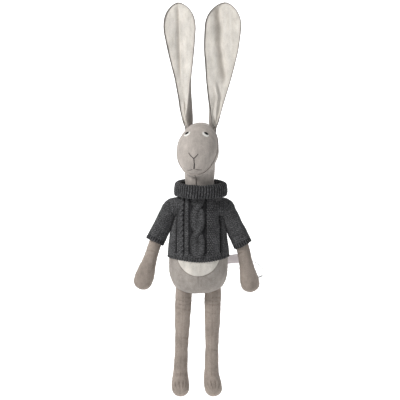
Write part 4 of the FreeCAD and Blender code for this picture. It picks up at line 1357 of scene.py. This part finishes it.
def tube_knit(name, stations, rows, cols, start_v=0.0):
    """A plain knitted tube through stations, with its stitches as relief."""
    grid, turn = loft(stations, rows, cols, (0, 1, 0), round_end=False)
    normal = outward(grid, normals_of(grid))
    along = run_length(grid.mean(axis=1))[:, None]
    radius = np.array([s[4] for s in stations]).mean()
    wales = round(2 * math.pi * radius / WALE)
    depth = knit_stitch(turn[None, :] / (2 * math.pi) * wales * WALE, start_v - along)
    cover = swell(grid, normal, 1.1 * depth + 0.7 * grain(grid, 11.0, 1.0) - 0.6)
    return ring_object(name, cover, "grey_knit", depth)


def make_sleeve(name, side):
    """Yoke from the body to the shoulder, the sleeve that bends over the shoulder, and its ribbed cuff."""
    shoulder = JOINT[f"shoulder_swing_{name}"]
    lean = UPPER[name][1]
    down = leaning(side, lean)
    out = np.array([side, 0.0, 0.0])
    yoke = [(0, *(shoulder - out * 29 + [0, 0, 3.5]), 11.5, 12.5),
            (9, *(shoulder - out * 20 + [0, 0, 1.5]), 14.4, 15.8),
            (17, *(shoulder - out * 11), 15.2, 16.0),
            (22, *(shoulder - out * 6), 14.8, 15.0), (28, *shoulder, 13.6, 13.6)]
    obj = tube_knit(f"sweater_yoke_{name}", yoke, 62, 190)
    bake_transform(obj)
    stand_for(obj, None, [f"sleeve_{name}"])
    long = SLEEVE_LONG[name]
    sleeve = [(0, *(shoulder - out * 4.5), 13.0, 13.1), (4, *(shoulder - out * 0.6), 13.3, 13.3),
              (8, *(shoulder + out * 1.2 + down * 2.2), 13.0, 12.7),
              (15, *(shoulder + out * 1.0 + down * 9.5), 12.9, 12.7),
              (24, *(shoulder + out * 0.5 + down * 19), 13.0, 13.2), (33, *(shoulder + down * 28.5), 13.2, 13.6),
              (45, *(shoulder + down * 41), 13.5, 13.9), (long - 3, *(shoulder + down * (long - 7)), 13.8, 14.2)]
    obj = tube_knit(f"sweater_sleeve_{name}", sleeve, 160, 200, -24.0)
    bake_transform(obj)
    stand_for(obj, None, [f"sleeve_{name}"])
    make_cuff(name, side, shoulder, down, long)


def make_cuff(name, side, shoulder, down, long):
    outside = [(14.0 + 0.4 * s, long - 9.0 + 8.6 * s) for s in np.linspace(0, 1, 24)]
    edge = [(13.5 + 1.0 * math.cos(a), long - 0.6 + 1.0 * math.sin(a)) for a in np.linspace(0.3, math.pi, 6)]
    inside = [(12.6, long - 0.8 - s * 8.0) for s in np.linspace(0.1, 1, 8)]
    profile = np.array(outside + edge + inside)
    back = np.array([0.0, 1.0, 0.0])
    across = np.cross(down, back)

    def shape(radius, turn, height):
        dip = height + 0.7 * np.sin(turn * 2 + side)
        return (shoulder + down * dip[..., None] + back * (radius * 0.97 * np.cos(turn))[..., None]
                + across * (radius * np.sin(turn))[..., None])

    grid = ring_of(profile, 190, shape)
    axis = shoulder + down * profile[:, 1][:, None, None]
    normal = normals_of(grid)
    normal *= np.sign(np.sum(normal[5] * (grid[5] - axis[5]), axis=1).mean())
    around, pitch = ribs_round(grid[10], 4.0)
    step = np.arange(len(profile))[:, None] * ROW_STEP
    depth = rib(around, -step, pitch)
    cover = swell(grid, normal, depth * np.where(np.arange(len(profile)) < 27, 1.2, 0.4)[:, None] - 0.5)
    stand_for(ring_object(f"sweater_cuff_{name}", cover, "grey_rib", depth), f"arm_{name}", [f"cuff_{name}"])


# ---- label and tag loop --------------------------------------------------------------------------------------
LOOP_ROUTE = [(62.6, 26.4, 209.3), (70.4, 31.4, 207.6), (79.8, 36.2, 204.4), (89.6, 39.8, 199.6),
              (98.2, 42.0, 191.8), (102.8, 42.8, 184.6), (100.2, 42.2, 178.8), (92.2, 40.6, 175.8),
              (81.4, 37.4, 178.4), (71.8, 33.4, 185.6), (65.2, 29.2, 195.0), (62.6, 26.4, 203.8)]


def make_loop():
    data = bpy.data.curves.new("tag_loop_string", "CURVE")
    data.dimensions = "3D"
    data.bevel_depth = 0.55 * MM
    data.bevel_resolution = 3
    data.use_fill_caps = True
    line = data.splines.new("NURBS")
    line.points.add(len(LOOP_ROUTE) - 1)
    for point, (x, y, up) in zip(line.points, LOOP_ROUTE):
        point.co = (x * MM, y * MM, (up - WAIST_UP) * MM, 1.0)
    line.order_u = 3
    line.use_endpoint_u = True
    line.resolution_u = 10
    data.materials.append(MATERIAL["loop_string"])
    obj = new_object("tag_loop_string", data)
    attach(obj, "label")
    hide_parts("tag_loop")


def make_label():
    """The woven side label, blank: one sheet of ribbon with its thickness, a little curled."""
    root = JOINT["label_flap"]
    rows, cols = 14, 30
    reach = np.linspace(-1.5, 23.6, cols)[None, :]
    height = np.linspace(-6.7, 6.7, rows)[:, None]
    sweep = math.radians(40.0)
    bow = 0.9 * np.sin(reach / 23.6 * math.pi) + 0.25 * np.sin(height / 3.0)
    x = reach * math.cos(sweep) - bow * math.sin(sweep)
    y = reach * math.sin(sweep) + bow * math.cos(sweep)
    grid = np.stack([x + 0 * height, y + 0 * height, height + 0.02 * reach * height / 6 - 1.0], axis=2) + root
    obj = add_object("care_label_ribbon", *shell(grid, 0.5, 0), "label_ribbon")
    stand_for(obj, "label", ["care_label"])


# ---- carried-over nodes --------------------------------------------------------------------------------------
def dress_nodes():
    """Materials for the CAD nodes that stay."""
    slots = {"neck_cover": "taupe_velour", "neck_stuffing": "fibrefill", "tag_loop_lock": "loop_string"}
    for name in SIDES:
        for part in ("ear", "arm", "leg"):
            slots[f"{part}_knot_{name}"] = "gathered_knot"
    for node, slot in slots.items():
        obj = frame["nodes"][node]
        obj.data.materials.clear()
        obj.data.materials.append(MATERIAL[slot])


# ---- the scene -----------------------------------------------------------------------------------------------
add_camera()
make_loop()
add_studio()
add_floor()
make_torso()
make_head()
for name, side in SIDES.items():
    make_ear(name, side)
    make_arm(name, side)
    make_leg(name, side)
    make_sleeve(name, side)
sweater_half("front", -1)
sweater_half("back", 1)
make_hem()
make_collar()
make_label()
dress_nodes()
